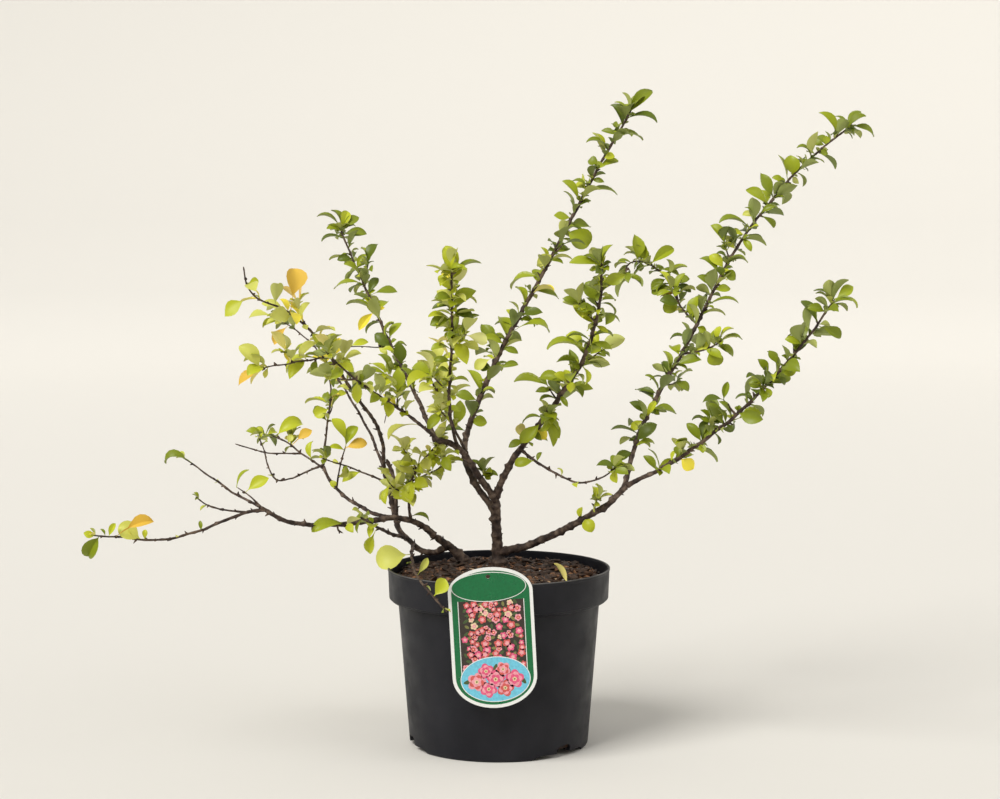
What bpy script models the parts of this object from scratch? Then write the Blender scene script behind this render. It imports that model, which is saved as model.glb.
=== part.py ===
"""Potted flowering quince: a young shrub in a black nursery pot with a hanging plant label.

Metres, +Z up. The origin is the centre of the pot's flat underside, +X is the right of the front
view and -Y faces the viewer. The shrub's own tables are in millimetres and degrees, as a gardener
would take them with a rule and a protractor. Each limb grows from an earlier one by its length,
thickness, bearings (in plan, from +X) and rises (above level). Its bare part is a bough, and the
rest carries leaves by a seeded rule.
"""

import math
import random
from collections import namedtuple

import bmesh
import bpy
from mathutils import Matrix, Quaternion, Vector
from mathutils.bvhtree import BVHTree

MM = 0.001
GAP = 0.3 * MM
SHARP_FROM = 40
UP = Vector((0, 0, 1))

# Pot: a three litre blow-moulded container, 19 cm across the rim
POT_HEIGHT = 152 * MM
RIM_RADIUS = 95 * MM
RIM_LIP = 1.2 * MM
BAND_HEIGHT = 26 * MM
BAND_RADIUS = 93.6 * MM
BODY_TOP_RADIUS = 86 * MM
BODY_FOOT_RADIUS = 76.5 * MM
POT_WALL = 1.5 * MM
POT_FLOOR = 2.5 * MM
STEP_FALL = 2.5 * MM
FOOT_CHAMFER = 1.5 * MM
POT_STEPS = 40
NOTCH_COUNT = 3
NOTCH_FIRST_BEARING = -45
NOTCH_WIDTH = 12 * MM
NOTCH_HEIGHT = 8 * MM
NOTCH_DEPTH = 6 * MM

# Compost: level round the stems, falling a little to the pot's wall
SOIL_LEVEL = 148 * MM
SOIL_EDGE_LEVEL = 142.5 * MM
SOIL_LEVEL_RADIUS = 74 * MM
SOIL_STEPS = 30

# Label: a flat plastic plate with a tongue that hooks over the rim
ARCH_STEPS = 12
HOLE_STEPS = 10
LABEL_WIDTH = 69 * MM
LABEL_LENGTH = 116 * MM
LABEL_THICKNESS = 0.8 * MM
LABEL_TOP_ARCH = 20 * MM
LABEL_FOOT_ARCH = 26 * MM
LABEL_CENTRE_X = -4.9 * MM
LABEL_CENTRE_Z = 108.6 * MM
LABEL_LEAN = 3.1
LABEL_HOLE_RADIUS = 1.8 * MM
LABEL_HOLE_DROP = 7.5 * MM
LABEL_HOLE_OFFSET = -1.2 * MM
TONGUE_WIDTH = 12 * MM
TONGUE_THICKNESS = 0.8 * MM
TONGUE_REACH = 8 * MM

# Wood
LIMB_STEP = 14 * MM
KINK = 4
BOUGH_RESOLUTION = 1
TWIG_RESOLUTION = 0
ROOT_FLARE = 1.35
FLARE_LENGTH = 12 * MM
BURIED = 8 * MM
BARK_COLOUR = (0.075, 0.045, 0.034)

# Leaves: their turn from bud to bud, their blade, and how they sit on their twig
TURN = 137.5
TURN_SLACK = 20
BUD_SPACINGS = (0.8, 1.2)
LEAF_SIZES = (0.8, 1.1)
LEAF_SPREADS = (45, 75)
LEAF_WIDTH = 0.62
LEAF_THICKNESS = 0.05
LEAF_ARCH = 0.11
LEAF_EDGE_RISE = 0.19
BLADE_THICKEST = 0.36
BLADE_WIDEST = 0.58
LEAF_LIFT = (-0.15, 0.5)
LEAF_ROLL = 35
TIP_SPREADS = (12, 40, 55)
TIP_TURN = 130
TIP_SHRINK = 0.12
TIP_INSET = 0.3
BARE_TIP = 4 * MM
TWIG_TIP_LEAVES = 2
SINK = 0.5 * MM
LEAF_CLEARANCE = 0.4 * MM
TWIG_THICK = 0.8 * MM
TWIG_THIN = 0.5 * MM
TWIG_STEPS = 3
TWIG_BEND = 0.15
TWIG_LENGTHS = (0.7, 1.2)
LAST_TWIG = 0.85

# A limb with no bare length is a twig that grows out of its parent's own leafy part
Limb = namedtuple("Limb", "grows_from along length thick thin bearings rises bare")

STEM_FEET = {"trunk": (0, 25), "second_stem": (-30, 50)}

LIMBS = {
    "trunk": Limb(None, 0, 62, 4.8, 4.0, (-140, -90), (85, 80), 1),
    "tall": Limb("trunk", 0.75, 412, 2.9, 0.9, (190, 45, 35, 25, 0), (55, 60, 55, 60, 60), 0.2),
    "left_fork": Limb("trunk", 0.95, 90, 3.0, 2.2, (-145, -135, -145), (50, 50, 10), 1),
    "high_left": Limb("left_fork", 1, 270, 1.9, 0.8, (115, 115, 115, 135), (40, 35, 40, 60), 0.2),
    "inner_left": Limb("left_fork", 0.95, 160, 1.5, 0.7, (-135, -125, -135), (35, 25, 40), 0.3),
    "centre": Limb("left_fork", 0.7, 195, 1.5, 0.8, (-105, -85, -90), (45, 55, 60), 0.3),
    "heart": Limb("left_fork", 0.5, 85, 1.3, 0.7, (-170, -140), (65, 60), 0.3),
    "fork_spur": Limb("tall", 0.07, 16, 0.9, 0.7, (-10,), (60,), 0.4),
    "centre_right": Limb("trunk", 1, 275, 3.0, 0.9, (-35, -45, -60, -75, -95), (65, 45, 40, 50, 55), 0.2),
    "low_right": Limb("centre_right", 0.185, 125, 1.3, 0.6, (-65, -50, -25), (-15, -15, 35), 0.6),
    "right": Limb("trunk", 0.2, 144, 3.4, 2.3, (-15, -30, -35, -40), (10, 25, 30, 45), 1),
    "right_spur": Limb("right", 0.7, 16, 0.9, 0.7, (-70,), (60,), 0.4),
    "right_low": Limb("right", 1, 250, 1.9, 0.8, (-30, -35, -40, -30), (25, 35, 45, 55), 0.12),
    "right_high": Limb("right", 0.97, 466, 2.1, 0.8, (70, 55, 55, 40, 20), (50, 40, 45, 40, 35), 0.08),
    "arch": Limb("right_high", 0.41, 113, 0.9, 0.6, (140, 115, 175, 245), (30, 55, 30, -85), 0),
    "right_side": Limb("right_high", 0.33, 38, 0.9, 0.6, (-10, -10), (5, 30), 0),
    "second_stem": Limb(None, 0, 37, 3.8, 3.0, (180, 210), (45, 35), 1),
    "left": Limb("second_stem", 1, 174, 2.6, 1.6, (-155, -155, -145, -150), (40, -5, 5, 35), 1),
    "left_upper": Limb("left", 1, 86, 1.2, 0.5, (160, 155, 155), (20, 30, 30), 0.35),
    "left_low": Limb("left", 0.97, 152, 1.4, 0.6, (-155,), (-5, -20, -10, 10, 5), 0.4),
    "left_middle": Limb("left_low", 0.1, 50, 0.9, 0.5, (-155, -150, -140), (5, 15, 40), 0.4),
    "left_mid": Limb("left", 0.22, 95, 1.8, 1.2, (150, 150, 145), (0, 25, 60), 1),
    "left_upright": Limb("left_mid", 1, 94, 1.0, 0.6, (55, 40, 175), (80, 80, 75), 0.3),
    "left_fan": Limb("left_mid", 0.95, 76, 1.0, 0.6, (150, 150, 145), (25, 30, 0), 0.3),
    "fan_side": Limb("left_fan", 0.38, 62, 0.7, 0.5, (-160, -155), (0, 20), 0),
    "left_curl": Limb("left_mid", 1, 90, 0.9, 0.5, (-155, -155, -155, -140), (-20, -20, 75, 65), 0.35),
    "left_rising": Limb("second_stem", 0.55, 107, 2.6, 2.0, (165, 160, 170, 210), (-35, 35, 80, 70), 1),
    "left_high": Limb(
        "left_rising", 1, 300, 1.7, 0.6,
        (-85, -115, -115, -125, -130), (65, 45, 35, 40, 40, 30, 15, 80), 0.35,
    ),
    "reaching": Limb("left_high", 0.53, 90, 0.8, 0.5, (-120, -130), (0, -5), 0),
    "left_back": Limb("left_rising", 0.95, 195, 1.3, 0.5, (125, 130, 140, 155), (60, 45, 45, 25), 0.5),
    "pruned_stub": Limb("left_rising", 0.6, 55, 1.9, 1.7, (-60, -175), (85, 70), 1),
    "left_thin": Limb("left_rising", 0.9, 65, 0.9, 0.5, (-165, -155), (25, 20), 0.4),
    "drooping": Limb("left_rising", 0.33, 191, 1.4, 0.7, (-90, -85, -55), (0, -5, -25), 0.35),
    "knobbly": Limb("left_rising", 0.4, 84, 1.7, 1.0, (-115, -120), (15, 25), 0.75),
    "low_centre": Limb("left", 0.15, 92, 1.3, 0.6, (-100, -25), (60, 45), 0.3),
}

# Leaves along each leafy part: distance between buds, leaf length, side twigs and their length, the
# seed that the part grows by, and the colour that most of its leaves have
Foliage = namedtuple("Foliage", "spacing leaf twigs twig_length seed tint")

FOLIAGE = {
    "tall": Foliage(12, 24, 2, 16, 248, "green"),
    "high_left": Foliage(11.5, 22, 2, 22, 38, "green"),
    "inner_left": Foliage(13, 20, 2, 18, 157, "lime"),
    "centre": Foliage(10.5, 24, 3, 24, 112, "lime"),
    "heart": Foliage(9, 22, 2, 24, 171, "lime"),
    "fork_spur": Foliage(8, 17, 0, 0, 66, "green"),
    "centre_right": Foliage(11, 23, 3, 20, 228, "green"),
    "low_right": Foliage(28, 17, 0, 0, 198, "green"),
    "right_spur": Foliage(8, 16, 0, 0, 132, "lime"),
    "right_low": Foliage(12, 23, 2, 18, 79, "deep green"),
    "right_high": Foliage(12, 24, 2, 18, 177, "deep green"),
    "arch": Foliage(10, 20, 2, 14, 191, "green"),
    "right_side": Foliage(9, 20, 0, 0, 132, "green"),
    "left_upper": Foliage(34, 17, 0, 0, 160, "lime"),
    "left_low": Foliage(34, 19, 0, 0, 40, "yellow"),
    "left_middle": Foliage(34, 15, 0, 0, 167, "lime"),
    "left_upright": Foliage(22, 19, 1, 12, 34, "lime"),
    "left_fan": Foliage(22, 17, 1, 12, 243, "lime"),
    "fan_side": Foliage(30, 16, 0, 0, 60, "lime"),
    "left_curl": Foliage(34, 15, 0, 0, 138, "lime"),
    "left_high": Foliage(19, 23, 2, 20, 37, "yellow"),
    "reaching": Foliage(22, 21, 1, 14, 188, "yellow"),
    "left_back": Foliage(22, 19, 1, 16, 33, "lime"),
    "left_thin": Foliage(22, 16, 0, 0, 234, "lime"),
    "drooping": Foliage(60, 14, 0, 0, 284, "lime"),
    "knobbly": Foliage(18, 19, 0, 0, 254, "lime"),
    "low_centre": Foliage(8.5, 20, 4, 28, 39, "lime"),
}

LEAF_COLOURS = {
    "deep green": (0.09, 0.19, 0.03),
    "green": (0.15, 0.3, 0.03),
    "lime": (0.34, 0.46, 0.06),
    "yellow": (0.75, 0.56, 0.07),
}

# Leaves that stand out by themselves: the limb, the share along it, the leaf's bearing, rise, length
# and roll about its rib
Single = namedtuple("Single", "limb along bearing rise length roll")

SINGLES = (
    Single("drooping", 0.5, 210, -12, 29, -75),
    Single("drooping", 0.86, 20, 65, 14, 80),
    Single("knobbly", 0.95, 200, -55, 16, -60),
    Single("low_right", 0.97, 200, -50, 21, -40),
    Single("left_low", 0.98, 190, -65, 22, -70),
    Single("left_upper", 0.98, 175, 10, 20, 0),
    Single("right_spur", 0.9, -120, -60, 14, 60),
    Single("right_low", 0.27, -60, -65, 16, 40),
    Single("right_low", 0.5, 5, 25, 30, -20),
    Single("right_high", 0.98, -10, -20, 24, 20),
    Single("left_high", 0.74, 185, -15, 24, -40),
)

# Bare at their very tips
BARE_TIPS = ("left_high",)


def clear_scene():
    for obj in list(bpy.data.objects):
        bpy.data.objects.remove(obj, do_unlink=True)


def new_collection(name):
    made = bpy.data.collections.new(name)
    bpy.context.scene.collection.children.link(made)
    return made


def material(name, colour, roughness):
    made = bpy.data.materials.new(name)
    made.use_nodes = True
    shader = made.node_tree.nodes["Principled BSDF"]
    shader.inputs["Base Color"].default_value = (*colour, 1)
    shader.inputs["Roughness"].default_value = roughness
    shader.inputs["Metallic"].default_value = 0
    return made


def place(name, mesh, target):
    obj = bpy.data.objects.new(name, mesh)
    target.objects.link(obj)
    return obj


def helper(obj):
    obj.hide_render = True
    obj.display_type = "WIRE"
    return obj


def evaluated_mesh(obj):
    graph = bpy.context.evaluated_depsgraph_get()
    return bpy.data.meshes.new_from_object(obj.evaluated_get(graph))


def finish(obj, surface):
    obj.data.materials.clear()
    obj.data.materials.append(surface)
    obj.data.shade_smooth()
    obj.data.set_sharp_from_angle(angle=math.radians(SHARP_FROM))


def turned(name, profile, steps):
    """A profile of (radius, height) turned about the axis; it runs down the outer side."""
    mesh = bpy.data.meshes.new(name)
    edges = [(i, i + 1) for i in range(len(profile) - 1)]
    mesh.from_pydata([(radius, 0, height) for radius, height in profile], edges, [])
    obj = place(name, mesh, parts)
    screw = obj.modifiers.new("Turn", "SCREW")
    screw.steps = steps
    screw.render_steps = steps
    screw.use_merge_vertices = True
    screw.merge_threshold = 0.01 * MM
    return obj


def boolean(obj, operation, other):
    """Cuts or joins obj with an object or with everything in a collection, and keeps one whole body.

    The MANIFOLD solver takes over where EXACT leaves the surface open.
    """
    for solver in ("EXACT", "MANIFOLD"):
        modifier = obj.modifiers.new("Join", "BOOLEAN")
        modifier.operation = operation
        modifier.solver = solver
        if isinstance(other, bpy.types.Collection):
            modifier.operand_type = "COLLECTION"
            modifier.collection = other
        else:
            modifier.object = other
        joined = evaluated_mesh(obj)
        obj.modifiers.clear()
        if largest_body(joined):
            break
    obj.data = joined


def box(name, size, centre, target):
    mesh = bpy.data.meshes.new(name)
    shape = bmesh.new()
    bmesh.ops.create_cube(shape, size=1)
    bmesh.ops.scale(shape, vec=size, verts=shape.verts)
    bmesh.ops.translate(shape, vec=centre, verts=shape.verts)
    shape.to_mesh(mesh)
    shape.free()
    return place(name, mesh, target)


def largest_body(mesh):
    """Drops the scraps and sealed hollows that a join can leave, and tells whether the rest is closed."""
    shape = bmesh.new()
    shape.from_mesh(mesh)
    bmesh.ops.remove_doubles(shape, verts=shape.verts, dist=0.001 * MM)
    unseen = set(shape.faces)
    bodies = []
    while unseen:
        body = [unseen.pop()]
        for face in body:
            for edge in face.edges:
                for other in edge.link_faces:
                    if other in unseen:
                        unseen.discard(other)
                        body.append(other)
        bodies.append(body)
    bodies.sort(key=len)
    scraps = [face for body in bodies[:-1] for face in body]
    bmesh.ops.delete(shape, geom=scraps, context="FACES")
    closed = all(edge.is_manifold for edge in shape.edges)
    shape.to_mesh(mesh)
    shape.free()
    return closed


# Pot, compost and label


def inner_radius(height):
    """The pot's inner wall at this height, which follows the outer one."""
    band_foot = POT_HEIGHT - BAND_HEIGHT
    if height >= band_foot - POT_WALL:
        return BAND_RADIUS - POT_WALL
    share = height / band_foot
    return BODY_FOOT_RADIUS + (BODY_TOP_RADIUS - BODY_FOOT_RADIUS) * share - POT_WALL


def make_pot():
    band_foot = POT_HEIGHT - BAND_HEIGHT
    shoulder = band_foot - STEP_FALL
    profile = [
        (0, POT_FLOOR),
        (inner_radius(POT_FLOOR), POT_FLOOR),
        (inner_radius(shoulder - POT_WALL), shoulder - POT_WALL),
        (BAND_RADIUS - POT_WALL, band_foot - POT_WALL),
        (RIM_RADIUS - POT_WALL - RIM_LIP, POT_HEIGHT - RIM_LIP),
        (RIM_RADIUS - POT_WALL, POT_HEIGHT),
        (RIM_RADIUS - RIM_LIP / 2, POT_HEIGHT),
        (RIM_RADIUS, POT_HEIGHT - RIM_LIP),
        (BAND_RADIUS, band_foot),
        (BODY_TOP_RADIUS, shoulder),
        (BODY_FOOT_RADIUS, FOOT_CHAMFER),
        (BODY_FOOT_RADIUS - FOOT_CHAMFER, 0),
        (0, 0),
    ]
    pot = turned("pot", profile, POT_STEPS)
    pot.data = evaluated_mesh(pot)
    pot.modifiers.clear()
    for number in range(NOTCH_COUNT):
        turn = math.radians(NOTCH_FIRST_BEARING + 360 / NOTCH_COUNT * number)
        notch = box(
            f"notch_{number + 1}",
            (2 * NOTCH_DEPTH, NOTCH_WIDTH, 2 * NOTCH_HEIGHT),
            (BODY_FOOT_RADIUS, 0, 0),
            cutters,
        )
        notch.data.transform(Matrix.Rotation(turn, 4, "Z"))
        boolean(pot, "DIFFERENCE", helper(notch))
    finish(pot, material("Black pot plastic", (0.028, 0.028, 0.03), 0.6))


def make_soil():
    shoulder = POT_HEIGHT - BAND_HEIGHT - STEP_FALL
    band_wall = BAND_RADIUS - POT_WALL - GAP
    low = POT_FLOOR + GAP
    profile = [
        (0, SOIL_LEVEL),
        (SOIL_LEVEL_RADIUS, SOIL_LEVEL),
        (band_wall, SOIL_EDGE_LEVEL),
        (band_wall, POT_HEIGHT - BAND_HEIGHT + GAP),
        (inner_radius(shoulder - POT_WALL) - GAP, shoulder - POT_WALL),
        (inner_radius(low) - GAP, low),
        (0, low),
    ]
    soil = turned("soil", profile, SOIL_STEPS)
    soil.data = evaluated_mesh(soil)
    soil.modifiers.clear()
    finish(soil, material("Bark compost", (0.045, 0.022, 0.014), 0.95))


def label_outline():
    """The plate's outline: two straight sides between an elliptic arch at the top and one below."""
    half = LABEL_WIDTH / 2
    outline = []
    for step in range(ARCH_STEPS + 1):
        turn = math.pi * step / ARCH_STEPS
        rise = LABEL_LENGTH / 2 - LABEL_TOP_ARCH + LABEL_TOP_ARCH * math.sin(turn)
        outline.append((half * math.cos(turn), rise))
    for step in range(ARCH_STEPS + 1):
        turn = math.pi * step / ARCH_STEPS
        fall = LABEL_LENGTH / 2 - LABEL_FOOT_ARCH + LABEL_FOOT_ARCH * math.sin(turn)
        outline.append((-half * math.cos(turn), -fall))
    return outline


def label_hole():
    rise = LABEL_LENGTH / 2 - LABEL_HOLE_DROP
    turns = [2 * math.pi * step / HOLE_STEPS for step in range(HOLE_STEPS)]
    return [
        (LABEL_HOLE_OFFSET + LABEL_HOLE_RADIUS * math.cos(t), rise + LABEL_HOLE_RADIUS * math.sin(t))
        for t in turns
    ]


def make_label():
    curve = bpy.data.curves.new("label", "CURVE")
    curve.dimensions = "2D"
    curve.fill_mode = "BOTH"
    curve.extrude = LABEL_THICKNESS / 2
    for outline in (label_outline(), label_hole()):
        spline = curve.splines.new("POLY")
        spline.points.add(len(outline) - 1)
        for point, (across, rise) in zip(spline.points, outline):
            point.co = (across, rise, 0, 1)
        spline.use_cyclic_u = True
    drawn = place("label outline", curve, parts)
    mesh = welded_mesh(drawn)
    plate_y = -(RIM_RADIUS + GAP + LABEL_THICKNESS / 2)
    mesh.transform(Matrix.Rotation(math.radians(90), 4, "X"))
    mesh.transform(Matrix.Rotation(math.radians(-LABEL_LEAN), 4, "Y"))
    mesh.transform(Matrix.Translation((LABEL_CENTRE_X, plate_y, LABEL_CENTRE_Z)))
    label = place("label", mesh, parts)

    # The tongue leaves the plate's back, lies over the rim and drops inside the pot's wall
    hook = new_collection("tongue")
    corner = abs(LABEL_CENTRE_X) + TONGUE_WIDTH / 2
    inside = GAP - math.sqrt((BAND_RADIUS - POT_WALL) ** 2 - corner**2)
    top = POT_HEIGHT + GAP + TONGUE_THICKNESS
    over = (TONGUE_WIDTH, inside + TONGUE_THICKNESS - plate_y, TONGUE_THICKNESS)
    over_centre = (LABEL_CENTRE_X, (inside + TONGUE_THICKNESS + plate_y) / 2, top - TONGUE_THICKNESS / 2)
    box("tongue over the rim", over, over_centre, hook)
    down_centre = (LABEL_CENTRE_X, inside + TONGUE_THICKNESS / 2, top - TONGUE_REACH / 2)
    box("tongue inside the rim", (TONGUE_WIDTH, TONGUE_THICKNESS, TONGUE_REACH), down_centre, hook)
    boolean(label, "UNION", hook)
    for obj in list(hook.objects):
        bpy.data.objects.remove(obj)
    bpy.data.collections.remove(hook)
    finish(label, material("White label plastic", (0.85, 0.86, 0.84), 0.3))


# Courses of the limbs


def blend(values, share):
    """A value that eases from each station of a list to the next."""
    place_in_list = share * (len(values) - 1)
    index = min(int(place_in_list), max(len(values) - 2, 0))
    if len(values) == 1:
        return values[0]
    t = place_in_list - index
    t = t * t * (3 - 2 * t)
    return values[index] * (1 - t) + values[index + 1] * t


def heading(bearing, rise):
    b = math.radians(bearing)
    r = math.radians(rise)
    return Vector((math.cos(b) * math.cos(r), math.sin(b) * math.cos(r), math.sin(r)))


def course(name, start):
    """Points and radii of a limb from its row in the table, with a small kink at each bud."""
    limb = LIMBS[name]
    rng = random.Random(name)
    steps = max(2, round(limb.length * MM / LIMB_STEP))
    points = [start.copy()]
    radii = [limb.thick * MM]
    for step in range(steps):
        share = (step + 0.5) / steps
        side = 1 if step % 2 else -1
        bearing = blend(limb.bearings, share) + side * KINK * rng.uniform(0.4, 1)
        rise = blend(limb.rises, share) - side * KINK * rng.uniform(0.2, 0.8)
        points.append(points[-1] + heading(bearing, rise) * limb.length * MM / steps)
        radii.append((limb.thick + (limb.thin - limb.thick) * (step + 1) / steps) * MM)
    return points, radii


def along(path, share):
    """Place and direction at a share of a path's length."""
    points = path[0]
    at = share * (len(points) - 1)
    index = min(int(at), len(points) - 2)
    step = points[index + 1] - points[index]
    return points[index] + step * (at - index), step.normalized()


def grow_courses():
    paths = {}
    for name, limb in LIMBS.items():
        if limb.grows_from:
            start, _ = along(paths[limb.grows_from], limb.along)
        else:
            start = Vector((*STEM_FEET[name], 0)) * MM + UP * (SOIL_LEVEL + GAP)
        paths[name] = course(name, start)
    return paths


# Wood


def welded_mesh(drawn):
    """A curve object made into a mesh with its caps welded on; the curve is removed."""
    mesh = evaluated_mesh(drawn)
    mesh.transform(drawn.matrix_world)
    shape = bmesh.new()
    shape.from_mesh(mesh)
    bmesh.ops.remove_doubles(shape, verts=shape.verts, dist=0.01 * MM)
    bmesh.ops.recalc_face_normals(shape, faces=shape.faces)
    shape.to_mesh(mesh)
    shape.free()
    bpy.data.objects.remove(drawn)
    return mesh


def tube(name, points, radii, resolution, swell=0):
    """A tapering round limb along the points, swollen all round by the given amount."""
    curve = bpy.data.curves.new(name, "CURVE")
    curve.dimensions = "3D"
    curve.bevel_depth = MM
    curve.bevel_resolution = resolution
    curve.use_fill_caps = True
    spline = curve.splines.new("POLY")
    spline.points.add(len(points) - 1)
    ends = [points[0], points[-1]]
    ends[0] = ends[0] - (points[1] - points[0]).normalized() * swell
    ends[1] = ends[1] + (points[-1] - points[-2]).normalized() * swell
    laid = [ends[0], *points[1:-1], ends[1]]
    for point, co, radius in zip(spline.points, laid, radii):
        point.co = (*co, 1)
        point.radius = (radius + swell) / MM
    return welded_mesh(place(name, curve, parts))


def surface_of(mesh):
    return BVHTree.FromPolygons([v.co for v in mesh.vertices], [p.vertices for p in mesh.polygons])


def seated(obj, swollen):
    """Cuts a limb's foot to its neighbours, so that it sits on them 0.3 mm clear."""
    for mesh in swollen:
        if surface_of(obj.data).overlap(surface_of(mesh)):
            cutter = place(f"seat of {obj.name}", mesh.copy(), cutters)
            boolean(obj, "DIFFERENCE", helper(cutter))
            bpy.data.objects.remove(cutter)


def make_wood(paths):
    """Every bough as its own piece, and the bare stem of every leafy part."""
    stems = {}
    swollen = []
    for name, limb in LIMBS.items():
        if not limb.bare:
            continue
        points, radii = paths[name]
        split = max(1, round(limb.bare * (len(points) - 1)))
        lower = list(points[: split + 1])
        lower_radii = list(radii[: split + 1])
        if not limb.grows_from:
            foot = (points[1] - points[0]).normalized()
            lower = [points[0] - foot * BURIED, points[0], points[0] + foot * FLARE_LENGTH, *lower[2:]]
            lower_radii = [radii[0] * ROOT_FLARE, radii[0] * ROOT_FLARE, radii[0], *lower_radii[2:]]
        whole_name = name if limb.bare == 1 else f"{name}_bough"
        obj = place(whole_name, tube(whole_name, lower, lower_radii, BOUGH_RESOLUTION), parts)
        if not limb.grows_from:
            size = 2 * RIM_RADIUS
            below = SOIL_LEVEL + GAP - size / 2
            ground = box("ground", (size, size, size), (points[0].x, points[0].y, below), cutters)
            boolean(obj, "DIFFERENCE", helper(ground))
        seated(obj, swollen)
        finish(obj, material(f"Bark of {whole_name}", BARK_COLOUR, 0.8))
        swollen.append(tube("swollen", lower, lower_radii, BOUGH_RESOLUTION, GAP))
        if limb.bare == 1:
            continue
        upper = list(points[split:])
        upper[0] = upper[0] + (upper[1] - upper[0]).normalized() * GAP
        stem_mesh = tube(f"{name}_foliage", upper, radii[split:], TWIG_RESOLUTION)
        stem = place(f"{name}_foliage", stem_mesh, parts)
        seated(stem, swollen)
        swollen.append(tube("swollen", upper, radii[split:], TWIG_RESOLUTION, GAP))
        stems[name] = stem
    return stems


# Leaves

Leaf = namedtuple("Leaf", "root way normal length")


def length_of(path):
    return sum((b - a).length for a, b in zip(path[0], path[0][1:]))


def radial(axis, azimuth):
    """A direction square to the axis, turned round it."""
    side = axis.cross(UP)
    if side.length < 0.05:
        side = Vector((1, 0, 0))
    side.normalize()
    return Quaternion(axis, math.radians(azimuth)) @ side


def leaf_towards(root, way, roll, length):
    """A leaf that points the given way, its blade turned up and then rolled about its rib."""
    facing = UP if abs(way.z) < 0.99 else Vector((0, -1, 0))
    normal = (facing - way * facing.dot(way)).normalized()
    return Leaf(root - way * SINK, way, Quaternion(way, math.radians(roll)) @ normal, length)


def leaf_on(root, axis, azimuth, spread, length, rng):
    """A leaf that leaves its twig at the given spread and lifts to the light."""
    way = axis * math.cos(math.radians(spread)) + radial(axis, azimuth) * math.sin(math.radians(spread))
    way.z += rng.uniform(*LEAF_LIFT)
    return leaf_towards(root, way.normalized(), rng.gauss(0, LEAF_ROLL), length)


def leaves_along(path, first, foliage, at_tip, rng):
    """Leaves at the buds of a twig, turned 137.5 degrees from one to the next, and a few at its tip."""
    steps = len(path[0]) - 1
    length = length_of(path)
    azimuth = rng.uniform(0, 360)
    at = first + foliage.spacing * MM * rng.uniform(0.3, 0.7)
    leaves = []
    while at < length - BARE_TIP:
        root, axis = along(path, at / length)
        size = foliage.leaf * MM * rng.uniform(*LEAF_SIZES)
        leaves.append(leaf_on(root, axis, azimuth, rng.uniform(*LEAF_SPREADS), size, rng))
        azimuth += TURN + rng.uniform(-TURN_SLACK, TURN_SLACK)
        at += foliage.spacing * MM * rng.uniform(*BUD_SPACINGS)
    tip, axis = along(path, 1 - TIP_INSET / steps)
    for number, spread in enumerate(TIP_SPREADS[:at_tip]):
        size = foliage.leaf * MM * (1 - TIP_SHRINK * number)
        leaves.append(leaf_on(tip, axis, azimuth + number * TIP_TURN, spread, size, rng))
    return leaves


def side_twig(path, share, azimuth, length, rng):
    """A short twig that leaves its stem and bends up."""
    root, axis = along(path, share)
    way = (axis + radial(axis, azimuth) * rng.uniform(0.9, 1.5)).normalized()
    points = [root]
    radii = [TWIG_THICK]
    for _ in range(TWIG_STEPS):
        points.append(points[-1] + way * length / TWIG_STEPS)
        way = (way + UP * TWIG_BEND + radial(way, rng.uniform(0, 360)) * TWIG_BEND).normalized()
        radii.append(radii[-1] - (TWIG_THICK - TWIG_THIN) / TWIG_STEPS)
    return points, radii


def growth(name, path, first):
    """The side twigs and the leaves of one leafy part, by its seed, and its leaves that stand out."""
    foliage = FOLIAGE[name]
    rng = random.Random(foliage.seed)
    length = length_of(path)
    twigs = []
    at_tip = 0 if name in BARE_TIPS else len(TIP_SPREADS)
    leaves = leaves_along(path, first, foliage, at_tip, rng)
    azimuth = rng.uniform(0, 360)
    for number in range(foliage.twigs):
        share = (number + rng.uniform(0.2, 0.8)) / foliage.twigs
        share = (first + (length - first) * LAST_TWIG * share) / length
        reach = foliage.twig_length * MM * rng.uniform(*TWIG_LENGTHS)
        twig = side_twig(path, share, azimuth, reach, rng)
        twigs.append((twig, leaves_along(twig, 0, foliage, TWIG_TIP_LEAVES, rng)))
        azimuth += TURN
    for single in SINGLES:
        if single.limb == name:
            root, _ = along(path, single.along)
            way = heading(single.bearing, single.rise)
            leaves.append(leaf_towards(root, way, single.roll, single.length * MM))
    return leaves, twigs


def leaf_mesh(leaf, swell=0):
    """An eight-faced blade, sunk at its root, arched along its length and folded along its rib."""
    shape = bmesh.new()
    bmesh.ops.create_uvsphere(shape, u_segments=4, v_segments=2, radius=1)
    across = leaf.way.cross(leaf.normal)
    for vert in shape.verts:
        x, y, z = vert.co
        if abs(z) > 0.5:
            end = leaf.length + SINK + swell if z > 0 else -swell
            vert.co = leaf.root + leaf.way * end
        elif abs(x) > 0.5:
            rise = leaf.length * LEAF_EDGE_RISE
            vert.co = leaf.root + leaf.way * leaf.length * BLADE_WIDEST + leaf.normal * rise
            vert.co += across * math.copysign(leaf.length * LEAF_WIDTH / 2 + swell, x)
        else:
            vert.co = leaf.root + leaf.way * leaf.length * BLADE_THICKEST
            thick = leaf.length * LEAF_THICKNESS / 2 + swell
            vert.co += leaf.normal * (leaf.length * LEAF_ARCH + math.copysign(thick, y))
    bmesh.ops.recalc_face_normals(shape, faces=shape.faces)
    mesh = bpy.data.meshes.new("leaf")
    shape.to_mesh(mesh)
    shape.free()
    return mesh


def touches(mesh, surfaces):
    surface = surface_of(mesh)
    return any(surface.overlap(other) for other in surfaces)


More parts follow.
